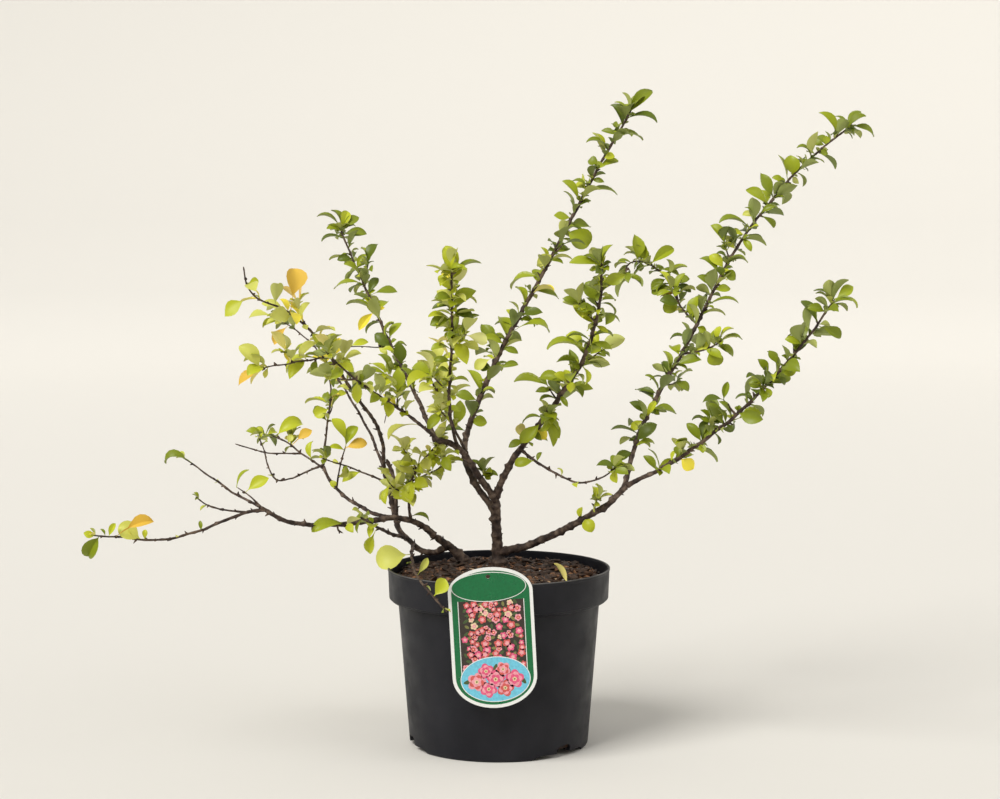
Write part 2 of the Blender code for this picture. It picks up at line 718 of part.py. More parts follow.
def make_foliage(paths, stems):
    """Each leafy part as one solid: its stem, twigs and leaves, clear of every other piece."""
    surfaces = {obj.name: surface_of(obj.data) for obj in parts.objects}
    for name, stem in stems.items():
        grown = new_collection(f"{name} growth")
        others = [surface for other, surface in surfaces.items() if other != stem.name]
        twigs_of_it = [twig for twig, limb in LIMBS.items() if limb.grows_from == name and not limb.bare]
        for member in [name, *twigs_of_it]:
            path = paths[member]
            steps = len(path[0]) - 1
            split = max(1, round(LIMBS[member].bare * steps)) if member == name else 0
            first = length_of(path) * split / steps
            leaves, twigs = growth(member, path, first)
            if member != name:
                mesh = tube(member, *path, TWIG_RESOLUTION)
                if touches(mesh, others):
                    continue
                place(member, mesh, grown)
            for twig, twig_leaves in twigs:
                mesh = tube("twig", *twig, TWIG_RESOLUTION)
                if touches(tube("clearance", *twig, TWIG_RESOLUTION, LEAF_CLEARANCE), others):
                    continue
                place("twig", mesh, grown)
                leaves += twig_leaves
            for leaf in leaves:
                if not touches(leaf_mesh(leaf, LEAF_CLEARANCE), others):
                    place("leaf", leaf_mesh(leaf), grown)
        boolean(stem, "UNION", grown)
        for obj in list(grown.objects):
            bpy.data.objects.remove(obj)
        bpy.data.collections.remove(grown)
        surfaces[stem.name] = surface_of(stem.data)
        finish(stem, material(f"Leaves of {stem.name}", LEAF_COLOURS[FOLIAGE[name].tint], 0.5))


clear_scene()
parts = new_collection("potted flowering quince")
cutters = new_collection("cutters")
make_pot()
make_soil()
make_label()
limb_paths = grow_courses()
make_foliage(limb_paths, make_wood(limb_paths))
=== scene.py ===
import math
import random
from collections import namedtuple

import bmesh
import bpy
import numpy as np
from mathutils import Matrix, Quaternion, Vector, noise
from mathutils.kdtree import KDTree


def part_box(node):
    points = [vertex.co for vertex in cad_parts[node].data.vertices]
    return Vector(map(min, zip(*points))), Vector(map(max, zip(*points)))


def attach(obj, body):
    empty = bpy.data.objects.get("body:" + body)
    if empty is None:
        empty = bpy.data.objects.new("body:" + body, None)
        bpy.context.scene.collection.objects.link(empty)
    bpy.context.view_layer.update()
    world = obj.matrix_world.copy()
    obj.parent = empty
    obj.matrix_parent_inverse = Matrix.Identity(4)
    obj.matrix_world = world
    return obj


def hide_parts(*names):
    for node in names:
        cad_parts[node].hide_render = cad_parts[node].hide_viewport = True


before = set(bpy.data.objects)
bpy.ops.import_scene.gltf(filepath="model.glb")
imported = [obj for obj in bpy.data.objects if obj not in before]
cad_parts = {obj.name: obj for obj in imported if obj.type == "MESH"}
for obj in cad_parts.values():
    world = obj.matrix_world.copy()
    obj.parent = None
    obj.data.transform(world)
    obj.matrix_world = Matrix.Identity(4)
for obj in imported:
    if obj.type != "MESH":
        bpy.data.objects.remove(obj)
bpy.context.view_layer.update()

# Pot
# A round three litre nursery pot, moulded in matt black plastic, 19 cm across its rolled rim. A plain band
# stiffens it under the rim, and drain notches are cut through its foot. It stands free and holds the rest.

MM = 0.001
UP = Vector((0, 0, 1))
RIM_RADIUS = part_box("pot")[1].x
POT_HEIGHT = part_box("pot")[1].z
BAND_HEIGHT = 26 * MM
BAND_RADIUS = 93.6 * MM
BODY_TOP_RADIUS = 86 * MM
FOOT_RADIUS = 76.5 * MM
POT_WALL = 1.5 * MM
POT_FLOOR = 5.8 * MM
STEP_FALL = 2.5 * MM
BASE_RECESS = 4.2 * MM
BASE_RING = 3.5 * MM
POT_STEPS = 160
CORNER_STEPS = 5
NOTCH_BEARINGS = (-45, 75, 195)
# A drain notch, in mm across and up: one shoulder is higher than the other, as cut by a slanted blade. Its
# cutter starts outside the wall and ends inside it.
NOTCH_OUTLINE = ((-8, -1), (8, -1), (8, 7), (7.2, 8.8), (5, 9.8), (0, 9.6), (-5, 9), (-7.2, 7.6), (-8, 5.6))
NOTCH_ENDS = (4, -9)
FOOT_CUT_TURN = 24
FOOT_CUT_RUN = 5
FOOT_CUT_HEIGHT = 3.6 * MM
FOOT_CUT_START = 0.1 * MM
FOOT_CUT_UNDER = -1 * MM
FOOT_CUT_INNER = -BASE_RING - 3 * MM
FOOT_CUT_OUTER = 2 * MM
PLASTIC_COLOURS = ((0.0078, 0.0081, 0.0118), (0.0158, 0.0162, 0.0212))
# The lip's colours, and the band along the rim's outer top edge that takes them, are a painted highlight
# where the rounded rim catches the light.
LIP_HIGHLIGHT_COLOURS = ((0.05, 0.048, 0.048), (0.16, 0.155, 0.15))
LIP_HIGHLIGHT_BAND = 0.9 * MM


def rounded(corners):
    """A profile of (radius, height, rounding) whose corners are rounded by that much."""
    points = []
    for number, (radius, height, rounding) in enumerate(corners):
        corner = Vector((radius, height))
        if not rounding:
            points.append(corner)
            continue
        before = corner + (Vector(corners[number - 1][:2]) - corner).normalized() * rounding
        after = corner + (Vector(corners[number + 1][:2]) - corner).normalized() * rounding
        for step in range(CORNER_STEPS + 1):
            share = step / CORNER_STEPS
            near = before.lerp(corner, share)
            points.append(near.lerp(corner.lerp(after, share), share))
    return points


def surface(name, roughness, colour=(0.5, 0.5, 0.5)):
    """A Principled material, its shader and its node tree."""
    made = bpy.data.materials.new(name)
    made.use_nodes = True
    tree = made.node_tree
    shader = tree.nodes["Principled BSDF"]
    shader.inputs["Base Color"].default_value = (*colour, 1)
    shader.inputs["Roughness"].default_value = roughness
    return made, shader, tree


def mottle(tree, scale, detail=4):
    """Cloudy noise in the object's own space."""
    where = tree.nodes.new("ShaderNodeTexCoord")
    cloud = tree.nodes.new("ShaderNodeTexNoise")
    cloud.inputs["Scale"].default_value = scale
    cloud.inputs["Detail"].default_value = detail
    tree.links.new(where.outputs["Object"], cloud.inputs["Vector"])
    return cloud.outputs["Fac"]


def ramp(tree, value, stops):
    """Colours dealt out by a value: stops are (place, colour)."""
    made = tree.nodes.new("ShaderNodeValToRGB")
    elements = made.color_ramp.elements
    while len(elements) < len(stops):
        elements.new(1)
    for element, (place, colour) in zip(elements, stops):
        element.position = place
        element.color = (*colour, 1)
    tree.links.new(value, made.inputs["Fac"])
    return made.outputs["Color"]


def spread_between(tree, value, low, high):
    """A number that runs from low to high with a value from 0.3 to 0.7."""
    made = tree.nodes.new("ShaderNodeMapRange")
    made.inputs["From Min"].default_value = 0.3
    made.inputs["From Max"].default_value = 0.7
    made.inputs["To Min"].default_value = low
    made.inputs["To Max"].default_value = high
    tree.links.new(value, made.inputs["Value"])
    return made.outputs["Result"]


def relief(tree, shader, value, depth, strength=1):
    """Fine relief of that depth in metres on a material."""
    bump = tree.nodes.new("ShaderNodeBump")
    bump.inputs["Distance"].default_value = depth
    bump.inputs["Strength"].default_value = strength
    tree.links.new(value, bump.inputs["Height"])
    tree.links.new(bump.outputs["Normal"], shader.inputs["Normal"])


def black_plastic(name, colours):
    """Matt moulded plastic, a little paler where it is scuffed. With the lip's colours, it is a painted
    highlight.
    """
    made, shader, tree = surface(name, 0.45)
    shader.inputs["Specular IOR Level"].default_value = 0.22
    scuffs_and_highlight = ramp(tree, mottle(tree, 26, 6), [(0.35, colours[0]), (0.75, colours[1])])
    tree.links.new(scuffs_and_highlight, shader.inputs["Base Color"])
    tree.links.new(spread_between(tree, mottle(tree, 60), 0.38, 0.58), shader.inputs["Roughness"])
    relief(tree, shader, mottle(tree, 900), 0.05 * MM)
    return made


def piece(name, mesh, *materials):
    """A smooth shaded object in the scene, with its materials."""
    made = bpy.data.objects.new(name, mesh)
    bpy.context.scene.collection.objects.link(made)
    for material in materials:
        mesh.materials.append(material)
    mesh.shade_smooth()
    return made


def worked(obj):
    """The object with its modifiers applied."""
    graph = bpy.context.evaluated_depsgraph_get()
    obj.data = bpy.data.meshes.new_from_object(obj.evaluated_get(graph))
    obj.modifiers.clear()
    return obj


def crisp(obj, degrees):
    """Keeps the edges sharp that turn by more than this angle."""
    obj.data.set_sharp_from_angle(angle=math.radians(degrees))


def turned(name, profile, steps, *materials):
    """A profile turned about the pot's axis. It runs down the outer side."""
    mesh = bpy.data.meshes.new(name)
    edges = [(i, i + 1) for i in range(len(profile) - 1)]
    mesh.from_pydata([(radius, 0, height) for radius, height in profile], edges, [])
    obj = piece(name, mesh, *materials)
    screw = obj.modifiers.new("Turn", "SCREW")
    screw.steps = steps
    screw.render_steps = steps
    screw.use_merge_vertices = True
    screw.merge_threshold = 0.01 * MM
    worked(obj)
    crisp(obj, 50)
    return obj


def inner_radius(height):
    """The pot's inner wall at this height."""
    share = height / (POT_HEIGHT - BAND_HEIGHT)
    return FOOT_RADIUS + (BODY_TOP_RADIUS - FOOT_RADIUS) * share - POT_WALL


def ring_faces(rings, sides, closed=True):
    """Faces between rings of points that follow one another, with the ends closed."""
    here = np.arange(rings - 1)[:, None] * sides + np.arange(sides)[None, :]
    side = np.arange(rings - 1)[:, None] * sides + (np.arange(sides)[None, :] + 1) % sides
    faces = np.stack([here, side, side + sides, here + sides], axis=-1).reshape(-1, 4).tolist()
    if closed:
        faces.append(list(range(sides))[::-1])
        faces.append(list(range((rings - 1) * sides, rings * sides)))
    return faces


def turned_out(mesh):
    """Turns the faces of a closed mesh outwards."""
    shape = bmesh.new()
    shape.from_mesh(mesh)
    bmesh.ops.recalc_face_normals(shape, faces=shape.faces)
    shape.to_mesh(mesh)
    shape.free()


def cut_away(obj, rings):
    """Cuts the solid between rings of points out of an object."""
    mesh = bpy.data.meshes.new("Cutter")
    mesh.from_pydata([point for ring in rings for point in ring], [], ring_faces(len(rings), len(rings[0])))
    turned_out(mesh)
    turned_out(obj.data)
    cutter = piece("Cutter", mesh)
    cut = obj.modifiers.new("Cut", "BOOLEAN")
    cut.operation = "DIFFERENCE"
    cut.object = cutter
    worked(obj)
    bpy.data.objects.remove(cutter)


def heading(bearing, rise):
    """A direction from its bearing, turned from +X, and its rise, both in degrees."""
    b = math.radians(bearing)
    r = math.radians(rise)
    return Vector((math.cos(b) * math.cos(r), math.sin(b) * math.cos(r), math.sin(r)))


band_foot = POT_HEIGHT - BAND_HEIGHT
shoulder = band_foot - STEP_FALL
pot = turned(
    "pot_black_plastic",
    rounded([
        (0, POT_FLOOR, 0),
        (inner_radius(POT_FLOOR), POT_FLOOR, 1.5 * MM),
        (inner_radius(shoulder), shoulder - POT_WALL, 1 * MM),
        (BAND_RADIUS - POT_WALL, band_foot - POT_WALL, 1 * MM),
        (RIM_RADIUS - 2.2 * MM, POT_HEIGHT - 2 * MM, 0.5 * MM),
        (RIM_RADIUS - 1.9 * MM, POT_HEIGHT, 0.7 * MM),
        (RIM_RADIUS, POT_HEIGHT, 0.7 * MM),
        (RIM_RADIUS, POT_HEIGHT - 1.8 * MM, 0.4 * MM),
        (RIM_RADIUS - 0.5 * MM, POT_HEIGHT - 2.6 * MM, 0.4 * MM),
        (BAND_RADIUS, band_foot, 0.7 * MM),
        (BODY_TOP_RADIUS, shoulder, 0.8 * MM),
        (FOOT_RADIUS, 2 * MM, 1 * MM),
        (FOOT_RADIUS - 1.2 * MM, 0, 0.8 * MM),
        (FOOT_RADIUS - BASE_RING, 0, 0.5 * MM),
        (FOOT_RADIUS - BASE_RING - 1 * MM, BASE_RECESS, 0.5 * MM),
        (0, BASE_RECESS, 0),
    ]),
    POT_STEPS,
    black_plastic("Black pot plastic", PLASTIC_COLOURS),
    # The rim's outer top edge takes a painted highlight, paler than the plastic.
    black_plastic("Scuffed pot lip", LIP_HIGHLIGHT_COLOURS),
)
for bearing in NOTCH_BEARINGS:
    turn = Matrix.Rotation(math.radians(bearing), 4, "Z")
    cut_away(pot, [
        [turn @ Vector((FOOT_RADIUS + out * MM, across * MM, up * MM)) for across, up in NOTCH_OUTLINE]
        for out in NOTCH_ENDS
    ])
    rings = []
    for degrees in range(-FOOT_CUT_TURN, FOOT_CUT_TURN + 1, 2):
        run = min(1, (FOOT_CUT_TURN - abs(degrees)) / FOOT_CUT_RUN)
        high = FOOT_CUT_HEIGHT * run - FOOT_CUT_START
        way = turn @ heading(degrees, 0)
        corners = (
            (FOOT_CUT_INNER, FOOT_CUT_UNDER), (FOOT_CUT_OUTER, FOOT_CUT_UNDER),
            (FOOT_CUT_OUTER, high), (FOOT_CUT_INNER, high),
        )
        rings.append([way * (FOOT_RADIUS + out) + UP * up for out, up in corners])
    cut_away(pot, rings)
# The faces along the rim's outer top edge take the lip's painted highlight.
for face in pot.data.polygons:
    if face.center.z > POT_HEIGHT - LIP_HIGHLIGHT_BAND and face.center.xy.length > RIM_RADIUS - LIP_HIGHLIGHT_BAND:
        face.material_index = 1
crisp(pot, 40)
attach(pot, "root")
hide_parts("pot")

# Compost
# Dark potting bark, composted and loose, filled to just under the rim and sunk a little round the wall. Its
# chips, pale splinters and a few white grains lie on it as they fell.

SOIL_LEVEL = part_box("soil")[1].z
SOIL_EDGE_LEVEL = 142.5 * MM
SOIL_LEVEL_RADIUS = 74 * MM
SOIL_SEATING = 0.3 * MM
SOIL_RADIUS = BAND_RADIUS - POT_WALL - SOIL_SEATING
SOIL_RINGS = 70
SOIL_SPOKES = 200
SOIL_FOOT_INSET = 2 * MM
# The lumps in the compost's surface: how wide and how high they are in mm, and how far the surface sinks
SOIL_LUMPS = ((21, 2.2), (8, 2.2), (3.2, 1.6))
SOIL_SINK = 1.6
SOIL_DARK = (0.006, 0.003, 0.002)
SOIL_LIGHT = (0.08, 0.036, 0.016)
CHIP_SIDES = 6
# A chip's rings, each at a share of its length and with a share of its width
CHIP_RINGS = ((-0.5, 0.45), (-0.25, 1), (0.2, 0.9), (0.5, 0.35))
CHIP_SWELLS = (0.75, 1.1)
CHIP_FLATNESS = 0.5
CHIP_LIFT = 0.15
CHIP_TILT = 24
CHIP_EDGE_GAP = 3 * MM
# Each kind of chip: how many, their lengths in mm, their widths for their length, and their colours
Chips = namedtuple("Chips", "name count length slimness colours")
CHIPS = (
    Chips("bark_chips_dark", 1000, (3.5, 11), (0.4, 0.85), ((0.014, 0.007, 0.004), (0.08, 0.036, 0.017))),
    Chips("bark_chips_brown", 760, (2, 7), (0.35, 0.85), ((0.1, 0.045, 0.02), (0.34, 0.155, 0.066))),
    Chips("pale_splinters", 110, (2.5, 8), (0.12, 0.4), ((0.34, 0.2, 0.11), (0.56, 0.4, 0.26))),
    Chips("white_grains", 34, (1.2, 3), (0.7, 1), ((0.7, 0.68, 0.64), (0.8, 0.79, 0.76))),
)


def dark_compost(name, low, high):
    """Moist bark, from its dark to its light colour."""
    made, shader, tree = surface(name, 0.7)
    tree.links.new(ramp(tree, mottle(tree, 220, 6), [(0.35, low), (0.7, high)]), shader.inputs["Base Color"])
    tree.links.new(spread_between(tree, mottle(tree, 90), 0.38, 0.9), shader.inputs["Roughness"])
    relief(tree, shader, mottle(tree, 700, 6), 0.4 * MM)
    return made


def soil_height(x, y):
    """The compost's surface: level, falling to the wall, with lumps of several sizes."""
    radius = math.hypot(x, y)
    share = max(0, (radius - SOIL_LEVEL_RADIUS) / (SOIL_RADIUS - SOIL_LEVEL_RADIUS))
    level = SOIL_LEVEL + (SOIL_EDGE_LEVEL - SOIL_LEVEL) * share
    where = Vector((x, y, 0))
    lumps = sum(noise.noise(where / (width * MM)) * height for width, height in SOIL_LUMPS)
    return level + (lumps - SOIL_SINK) * MM


class Heap:
    """Like things that are joined into one piece."""

    def __init__(self):
        self.points = []
        self.faces = []
        self.marks = []
        self.count = 0

    def add(self, points, faces, marks=None):
        """Adds one thing, whose faces' marks say which material they take."""
        self.faces += [[corner + self.count for corner in face] for face in faces]
        self.marks += marks or [0] * len(faces)
        self.points.append(np.asarray(points, float))
        self.count += len(points)

    def piece(self, name, *materials):
        """The whole heap as one object."""
        mesh = bpy.data.meshes.new(name)
        mesh.from_pydata(np.concatenate(self.points).tolist(), [], self.faces)
        mesh.polygons.foreach_set("material_index", self.marks)
        return piece(name, mesh, *materials)


soil = Heap()
rows = []
for ring in range(1, SOIL_RINGS + 1):
    radius = SOIL_RADIUS * ring / SOIL_RINGS
    turns = [2 * math.pi * spoke / SOIL_SPOKES for spoke in range(SOIL_SPOKES)]
    spots = [(radius * math.cos(turn), radius * math.sin(turn)) for turn in turns]
    rows.append([(x, y, soil_height(x, y)) for x, y in spots])
foot_height = POT_FLOOR + SOIL_SEATING
for radius, height in (
    (SOIL_RADIUS, band_foot),
    (inner_radius(shoulder) - SOIL_SEATING, shoulder - POT_WALL),
    (inner_radius(foot_height) - SOIL_FOOT_INSET, foot_height),
):
    rows.append([(radius * math.cos(turn), radius * math.sin(turn), height) for turn in turns])
soil.add(np.array(rows[::-1]).reshape(-1, 3), ring_faces(len(rows), SOIL_SPOKES))
compost = soil.piece("bark_compost", dark_compost("Dark compost", SOIL_DARK, SOIL_LIGHT))
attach(compost, "root")
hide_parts("soil")

for kind in CHIPS:
    rng = random.Random(kind.name)
    chips = Heap()
    for _ in range(kind.count):
        reach = (SOIL_RADIUS - CHIP_EDGE_GAP) * math.sqrt(rng.random())
        turn = rng.uniform(0, 2 * math.pi)
        x, y = reach * math.cos(turn), reach * math.sin(turn)
        length = rng.uniform(*kind.length) * MM
        width = length * rng.uniform(*kind.slimness)
        tilt = Quaternion((rng.gauss(0, 1), rng.gauss(0, 1), 0), math.radians(rng.gauss(0, CHIP_TILT)))
        tilt = tilt @ Quaternion((0, 0, 1), rng.uniform(0, 2 * math.pi))
        place = Vector((x, y, soil_height(x, y) + CHIP_LIFT * width))
        shape = []
        for end, girth in CHIP_RINGS:
            for side in range(CHIP_SIDES):
                around = 2 * math.pi * side / CHIP_SIDES
                swell = girth * rng.uniform(*CHIP_SWELLS) / 2
                local = Vector((
                    end * length,
                    width * swell * math.cos(around),
                    CHIP_FLATNESS * width * swell * math.sin(around),
                ))
                shape.append(place + tilt @ local)
        chips.add(shape, ring_faces(len(CHIP_RINGS), CHIP_SIDES))
    scattered = chips.piece(kind.name, dark_compost(kind.name.replace("_", " "), *kind.colours))
    crisp(scattered, 35)
    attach(scattered, "root")

# Stems and boughs
# Living wood under thin dark brown bark, paler where it is weathered, with a knot at every bud. Two stems
# stand in the compost, and each bough grows out of the one before it. One was pruned to a stub.

LIMB_STEP = 14 * MM
KINK = 4
ROOT_FLARE = 1.35
FOOT_FLARE = 1.25
FLARE_LENGTH = 12 * MM
BURIED = 5 * MM
FINE_STEP = 1.4 * MM
KNOT_SPACING = 10.5 * MM
KNOT_GAPS = (0.7, 1.4)
KNOT_SIZES = (0.4, 1.3)
KNOT_SWELL = 0.42
KNOT_SWELL_ALL_ROUND = 0.35
KNOT_REACH = 1.7 * MM
KNOT_RANGE = 2.5
COLLAR_SWELL = 0.35
COLLAR_REACH = 5 * MM
BARK_ROUGHNESS = 0.16
BARK_GRAIN = 2.2 * MM
RIDGE_LENGTH = 9 * MM
RIDGE_SHARE = 0.6
RIDGE_COUNT = 3
TIP = 0.4
JOINED_TIP = 0.85
THICK_LIMB = 1.5
THICK_SIDES = 12
THIN_SIDES = 8
SEATING = 0.3 * MM
BARK_COLOURS = ((0.022, 0.012, 0.009), (0.062, 0.038, 0.028), (0.19, 0.135, 0.1))
TWIG_COLOURS = ((0.024, 0.013, 0.009), (0.06, 0.034, 0.022), (0.15, 0.1, 0.065))

# How each limb grows: out of which limb and at what share along it, its length and its radii at both ends in
# mm, its bearings and rises in degrees at even stations, and the share of it that is bare. One with no bare
# length is a twig of its parent's own leafy part.
Limb = namedtuple("Limb", "grows_from along length thick thin bearings rises bare")

# Where the two stems stand in the compost, in mm
STEM_FEET = {"trunk": (0, 25), "second_stem": (-30, 50)}

LIMBS = {
    "trunk": Limb(None, 0, 62, 4.8, 4.0, (-140, -90), (85, 80), 1),
    "tall": Limb("trunk", 0.75, 412, 2.9, 0.9, (190, 45, 35, 25, 0), (55, 60, 55, 60, 60), 0.2),
    "left_fork": Limb("trunk", 0.95, 90, 3.0, 2.2, (-145, -135, -145), (50, 50, 10), 1),
    "high_left": Limb("left_fork", 1, 270, 1.9, 0.8, (115, 115, 115, 135), (40, 35, 40, 60), 0.2),
    "inner_left": Limb("left_fork", 0.95, 160, 1.5, 0.7, (-135, -125, -135), (35, 25, 40), 0.3),
    "centre": Limb("left_fork", 0.7, 195, 1.5, 0.8, (-105, -85, -90), (45, 55, 60), 0.3),
    "heart": Limb("left_fork", 0.5, 85, 1.3, 0.7, (-170, -140), (65, 60), 0.3),
    "fork_spur": Limb("tall", 0.07, 16, 0.9, 0.7, (-10,), (60,), 0.4),
    "centre_right": Limb("trunk", 1, 275, 3.0, 0.9, (-35, -45, -60, -75, -95), (65, 45, 40, 50, 55), 0.2),
    "low_right": Limb("centre_right", 0.185, 125, 1.3, 0.6, (-65, -50, -25), (-15, -15, 35), 0.6),
    "right": Limb("trunk", 0.2, 144, 3.4, 2.3, (-15, -30, -35, -40), (10, 25, 30, 45), 1),
    "right_spur": Limb("right", 0.7, 16, 0.9, 0.7, (-70,), (60,), 0.4),
    "right_low": Limb("right", 1, 250, 1.9, 0.8, (-30, -35, -40, -30), (25, 35, 45, 55), 0.12),
    "right_high": Limb("right", 0.97, 466, 2.1, 0.8, (70, 55, 55, 40, 20), (50, 40, 45, 40, 35), 0.08),
    "arch": Limb("right_high", 0.41, 113, 0.9, 0.6, (140, 115, 175, 245), (30, 55, 30, -85), 0),
    "right_side": Limb("right_high", 0.33, 38, 0.9, 0.6, (-10, -10), (5, 30), 0),
    "second_stem": Limb(None, 0, 37, 3.8, 3.0, (180, 210), (45, 35), 1),
    "left": Limb("second_stem", 1, 174, 2.6, 1.6, (-155, -155, -145, -150), (40, -5, 5, 35), 1),
    "left_upper": Limb("left", 1, 86, 1.2, 0.5, (160, 155, 155), (20, 30, 30), 0.35),
    "left_low": Limb("left", 0.97, 152, 1.4, 0.6, (-155,), (-5, -20, -10, 10, 5), 0.4),
    "left_middle": Limb("left_low", 0.1, 50, 0.9, 0.5, (-155, -150, -140), (5, 15, 40), 0.4),
    "left_mid": Limb("left", 0.22, 95, 1.8, 1.2, (150, 150, 145), (0, 25, 60), 1),
    "left_upright": Limb("left_mid", 1, 94, 1.0, 0.6, (55, 40, 175), (80, 80, 75), 0.3),
    "left_fan": Limb("left_mid", 0.95, 76, 1.0, 0.6, (150, 150, 145), (25, 30, 0), 0.3),
    "fan_side": Limb("left_fan", 0.38, 62, 0.7, 0.5, (-160, -155), (0, 20), 0),
    "left_curl": Limb("left_mid", 1, 90, 0.9, 0.5, (-155, -155, -155, -140), (-20, -20, 75, 65), 0.35),
    "left_rising": Limb("second_stem", 0.55, 107, 2.6, 2.0, (165, 160, 170, 210), (-35, 35, 80, 70), 1),
    "left_high": Limb(
        "left_rising", 1, 300, 1.7, 0.6,
        (-85, -115, -115, -125, -130), (65, 45, 35, 40, 40, 30, 15, 80), 0.35,
    ),
    "reaching": Limb("left_high", 0.53, 90, 0.8, 0.5, (-120, -130), (0, -5), 0),
    "left_back": Limb("left_rising", 0.95, 195, 1.3, 0.5, (125, 130, 140, 155), (60, 45, 45, 25), 0.5),
    "pruned_stub": Limb("left_rising", 0.6, 55, 1.9, 1.7, (-60, -175), (85, 70), 1),
    "left_thin": Limb("left_rising", 0.9, 65, 0.9, 0.5, (-165, -155), (25, 20), 0.4),
    "drooping": Limb("left_rising", 0.33, 191, 1.4, 0.7, (-90, -85, -55), (0, -5, -25), 0.35),
    "knobbly": Limb("left_rising", 0.4, 84, 1.7, 1.0, (-115, -120), (15, 25), 0.75),
    "low_centre": Limb("left", 0.15, 92, 1.3, 0.6, (-100, -25), (60, 45), 0.3),
}

# Fine shoots that the solids leave out, in the same way
SHOOTS = {
    "mid_shoot": Limb("left_mid", 0.74, 38, 0.8, 0.5, (30, 60, 10), (80, 68, 70), 0),
    "cross_twig": Limb("high_left", 0.45, 39, 0.6, 0.4, (180, 190, 175), (-8, 5, -5), 0),
    "left_tuft": Limb("left", 0.99, 27, 0.8, 0.4, (175, 165, 180), (38, 45, 30), 0),
    "centre_right_spur": Limb("centre_right", 0.42, 15, 0.8, 0.5, (185, 175), (50, 62), 0),
    "right_side_shoot": Limb("right_low", 0.48, 16, 0.9, 0.6, (165, 190), (45, 55), 0),
    "tall_spur": Limb("tall", 0.33, 12, 0.8, 0.6, (-10, 10), (45, 30), 0),
    "hanging_twig": Limb("inner_left", 0.42, 17, 0.6, 0.4, (185, 200), (-60, -75), 0),
    "left_curl_twig": Limb("left", 0.55, 10, 0.8, 0.6, (-70, -10), (-75, -20), 0),
}
LIMBS.update(SHOOTS)


def blend(values, share):
    """A value that eases from each station of a list to the next."""
    if len(values) == 1:
        return values[0]
    place_in_list = share * (len(values) - 1)
    index = min(int(place_in_list), len(values) - 2)
    t = place_in_list - index
    t = t * t * (3 - 2 * t)
    return values[index] * (1 - t) + values[index + 1] * t


def course(name, start):
    """Points and radii of a limb from its row in the table, with a small kink at each bud."""
    limb = LIMBS[name]
    rng = random.Random(name)
    steps = max(2, round(limb.length * MM / LIMB_STEP))
    points = [start.copy()]
    radii = [limb.thick * MM]
    for step in range(steps):
        share = (step + 0.5) / steps
        side = 1 if step % 2 else -1
        bearing = blend(limb.bearings, share) + side * KINK * rng.uniform(0.4, 1)
        rise = blend(limb.rises, share) - side * KINK * rng.uniform(0.2, 0.8)
        points.append(points[-1] + heading(bearing, rise) * limb.length * MM / steps)
        radii.append((limb.thick + (limb.thin - limb.thick) * (step + 1) / steps) * MM)
    return points, radii


def along(path, share):
    """Place and direction at a share of a path's length."""
    points = path[0]
    at = share * (len(points) - 1)
    index = min(int(at), len(points) - 2)
    step = points[index + 1] - points[index]
    return points[index] + step * (at - index), step.normalized()


def length_of(path):
    """The length of a path along its points."""
    return sum((b - a).length for a, b in zip(path[0], path[0][1:]))


def radial(axis, azimuth):
    """A direction square to the axis, turned round it."""
    side = axis.cross(UP)
    if side.length < 0.05:
        side = Vector((1, 0, 0))
    side.normalize()
    return Quaternion(axis, math.radians(azimuth)) @ side


def eased(path, spacing):
    """The path as a smooth curve through its points, with a point at each spacing, and its radii."""
    points, radii = path
    ends = [points[0] * 2 - points[1], *points, points[-1] * 2 - points[-2]]
    made, girths = [], []
    for index in range(len(points) - 1):
        a, b, c, d = ends[index : index + 4]
        steps = max(2, round((c - b).length / spacing))
        for step in range(steps + (index == len(points) - 2)):
            t = step / steps
            curve = b * 2 + (c - a) * t + (a * 2 - b * 5 + c * 4 - d) * t * t
            made.append((curve + (b * 3 - a - c * 3 + d) * t**3) / 2)
            girths.append(radii[index] + (radii[index + 1] - radii[index]) * t)
    return made, girths


def bark_tube(heap, path, sides, seed, knots=True, collar=True, tip=TIP):
    """A limb with knots at its buds, a collar where it grows out and ridges in its bark."""
    rng = random.Random(f"bark {seed}")
    points, girths = eased(path, FINE_STEP)
    runs = [0.0]
    for a, b in zip(points, points[1:]):
        runs.append(runs[-1] + (b - a).length)
    buds = []
    at = rng.uniform(0.5, 1) * KNOT_SPACING
    while knots and at < runs[-1] - KNOT_REACH:
        buds.append((at, rng.uniform(0, 2 * math.pi), rng.uniform(*KNOT_SIZES)))
        at += KNOT_SPACING * rng.uniform(*KNOT_GAPS)
    side = radial((points[1] - points[0]).normalized(), 0)
    rings = []
    for index, centre in enumerate(points):
        axis = (points[min(index + 1, len(points) - 1)] - points[max(index - 1, 0)]).normalized()
        side = (side - axis * side.dot(axis)).normalized()
        over = axis.cross(side)
        girth = girths[index]
        if collar:
            girth *= 1 + COLLAR_SWELL * math.exp(-((runs[index] / COLLAR_REACH) ** 2))
        left = runs[-1] - runs[index]
        if left < 2 * girth:
            girth *= tip + (1 - tip) * math.sin(math.pi / 2 * left / (2 * girth))
        for number in range(sides):
            around = 2 * math.pi * number / sides
            swell = 0
            for spot, facing, size in buds:
                near = (runs[index] - spot) / KNOT_REACH
                if abs(near) < KNOT_RANGE:
                    faced = KNOT_SWELL_ALL_ROUND + max(0, math.cos(around - facing))
                    swell += KNOT_SWELL * size * math.exp(-near * near) * faced
            out = side * math.cos(around) + over * math.sin(around)
            ridge = Vector((
                math.cos(around) * RIDGE_COUNT,
                math.sin(around) * RIDGE_COUNT,
                runs[index] / RIDGE_LENGTH + len(seed),
            ))
            rough = noise.noise((centre + out * girth * 2) / BARK_GRAIN) + RIDGE_SHARE * noise.noise(ridge)
            rings.append(centre + out * girth * (1 + swell + BARK_ROUGHNESS * rough))
    heap.add(rings, ring_faces(len(points), sides))


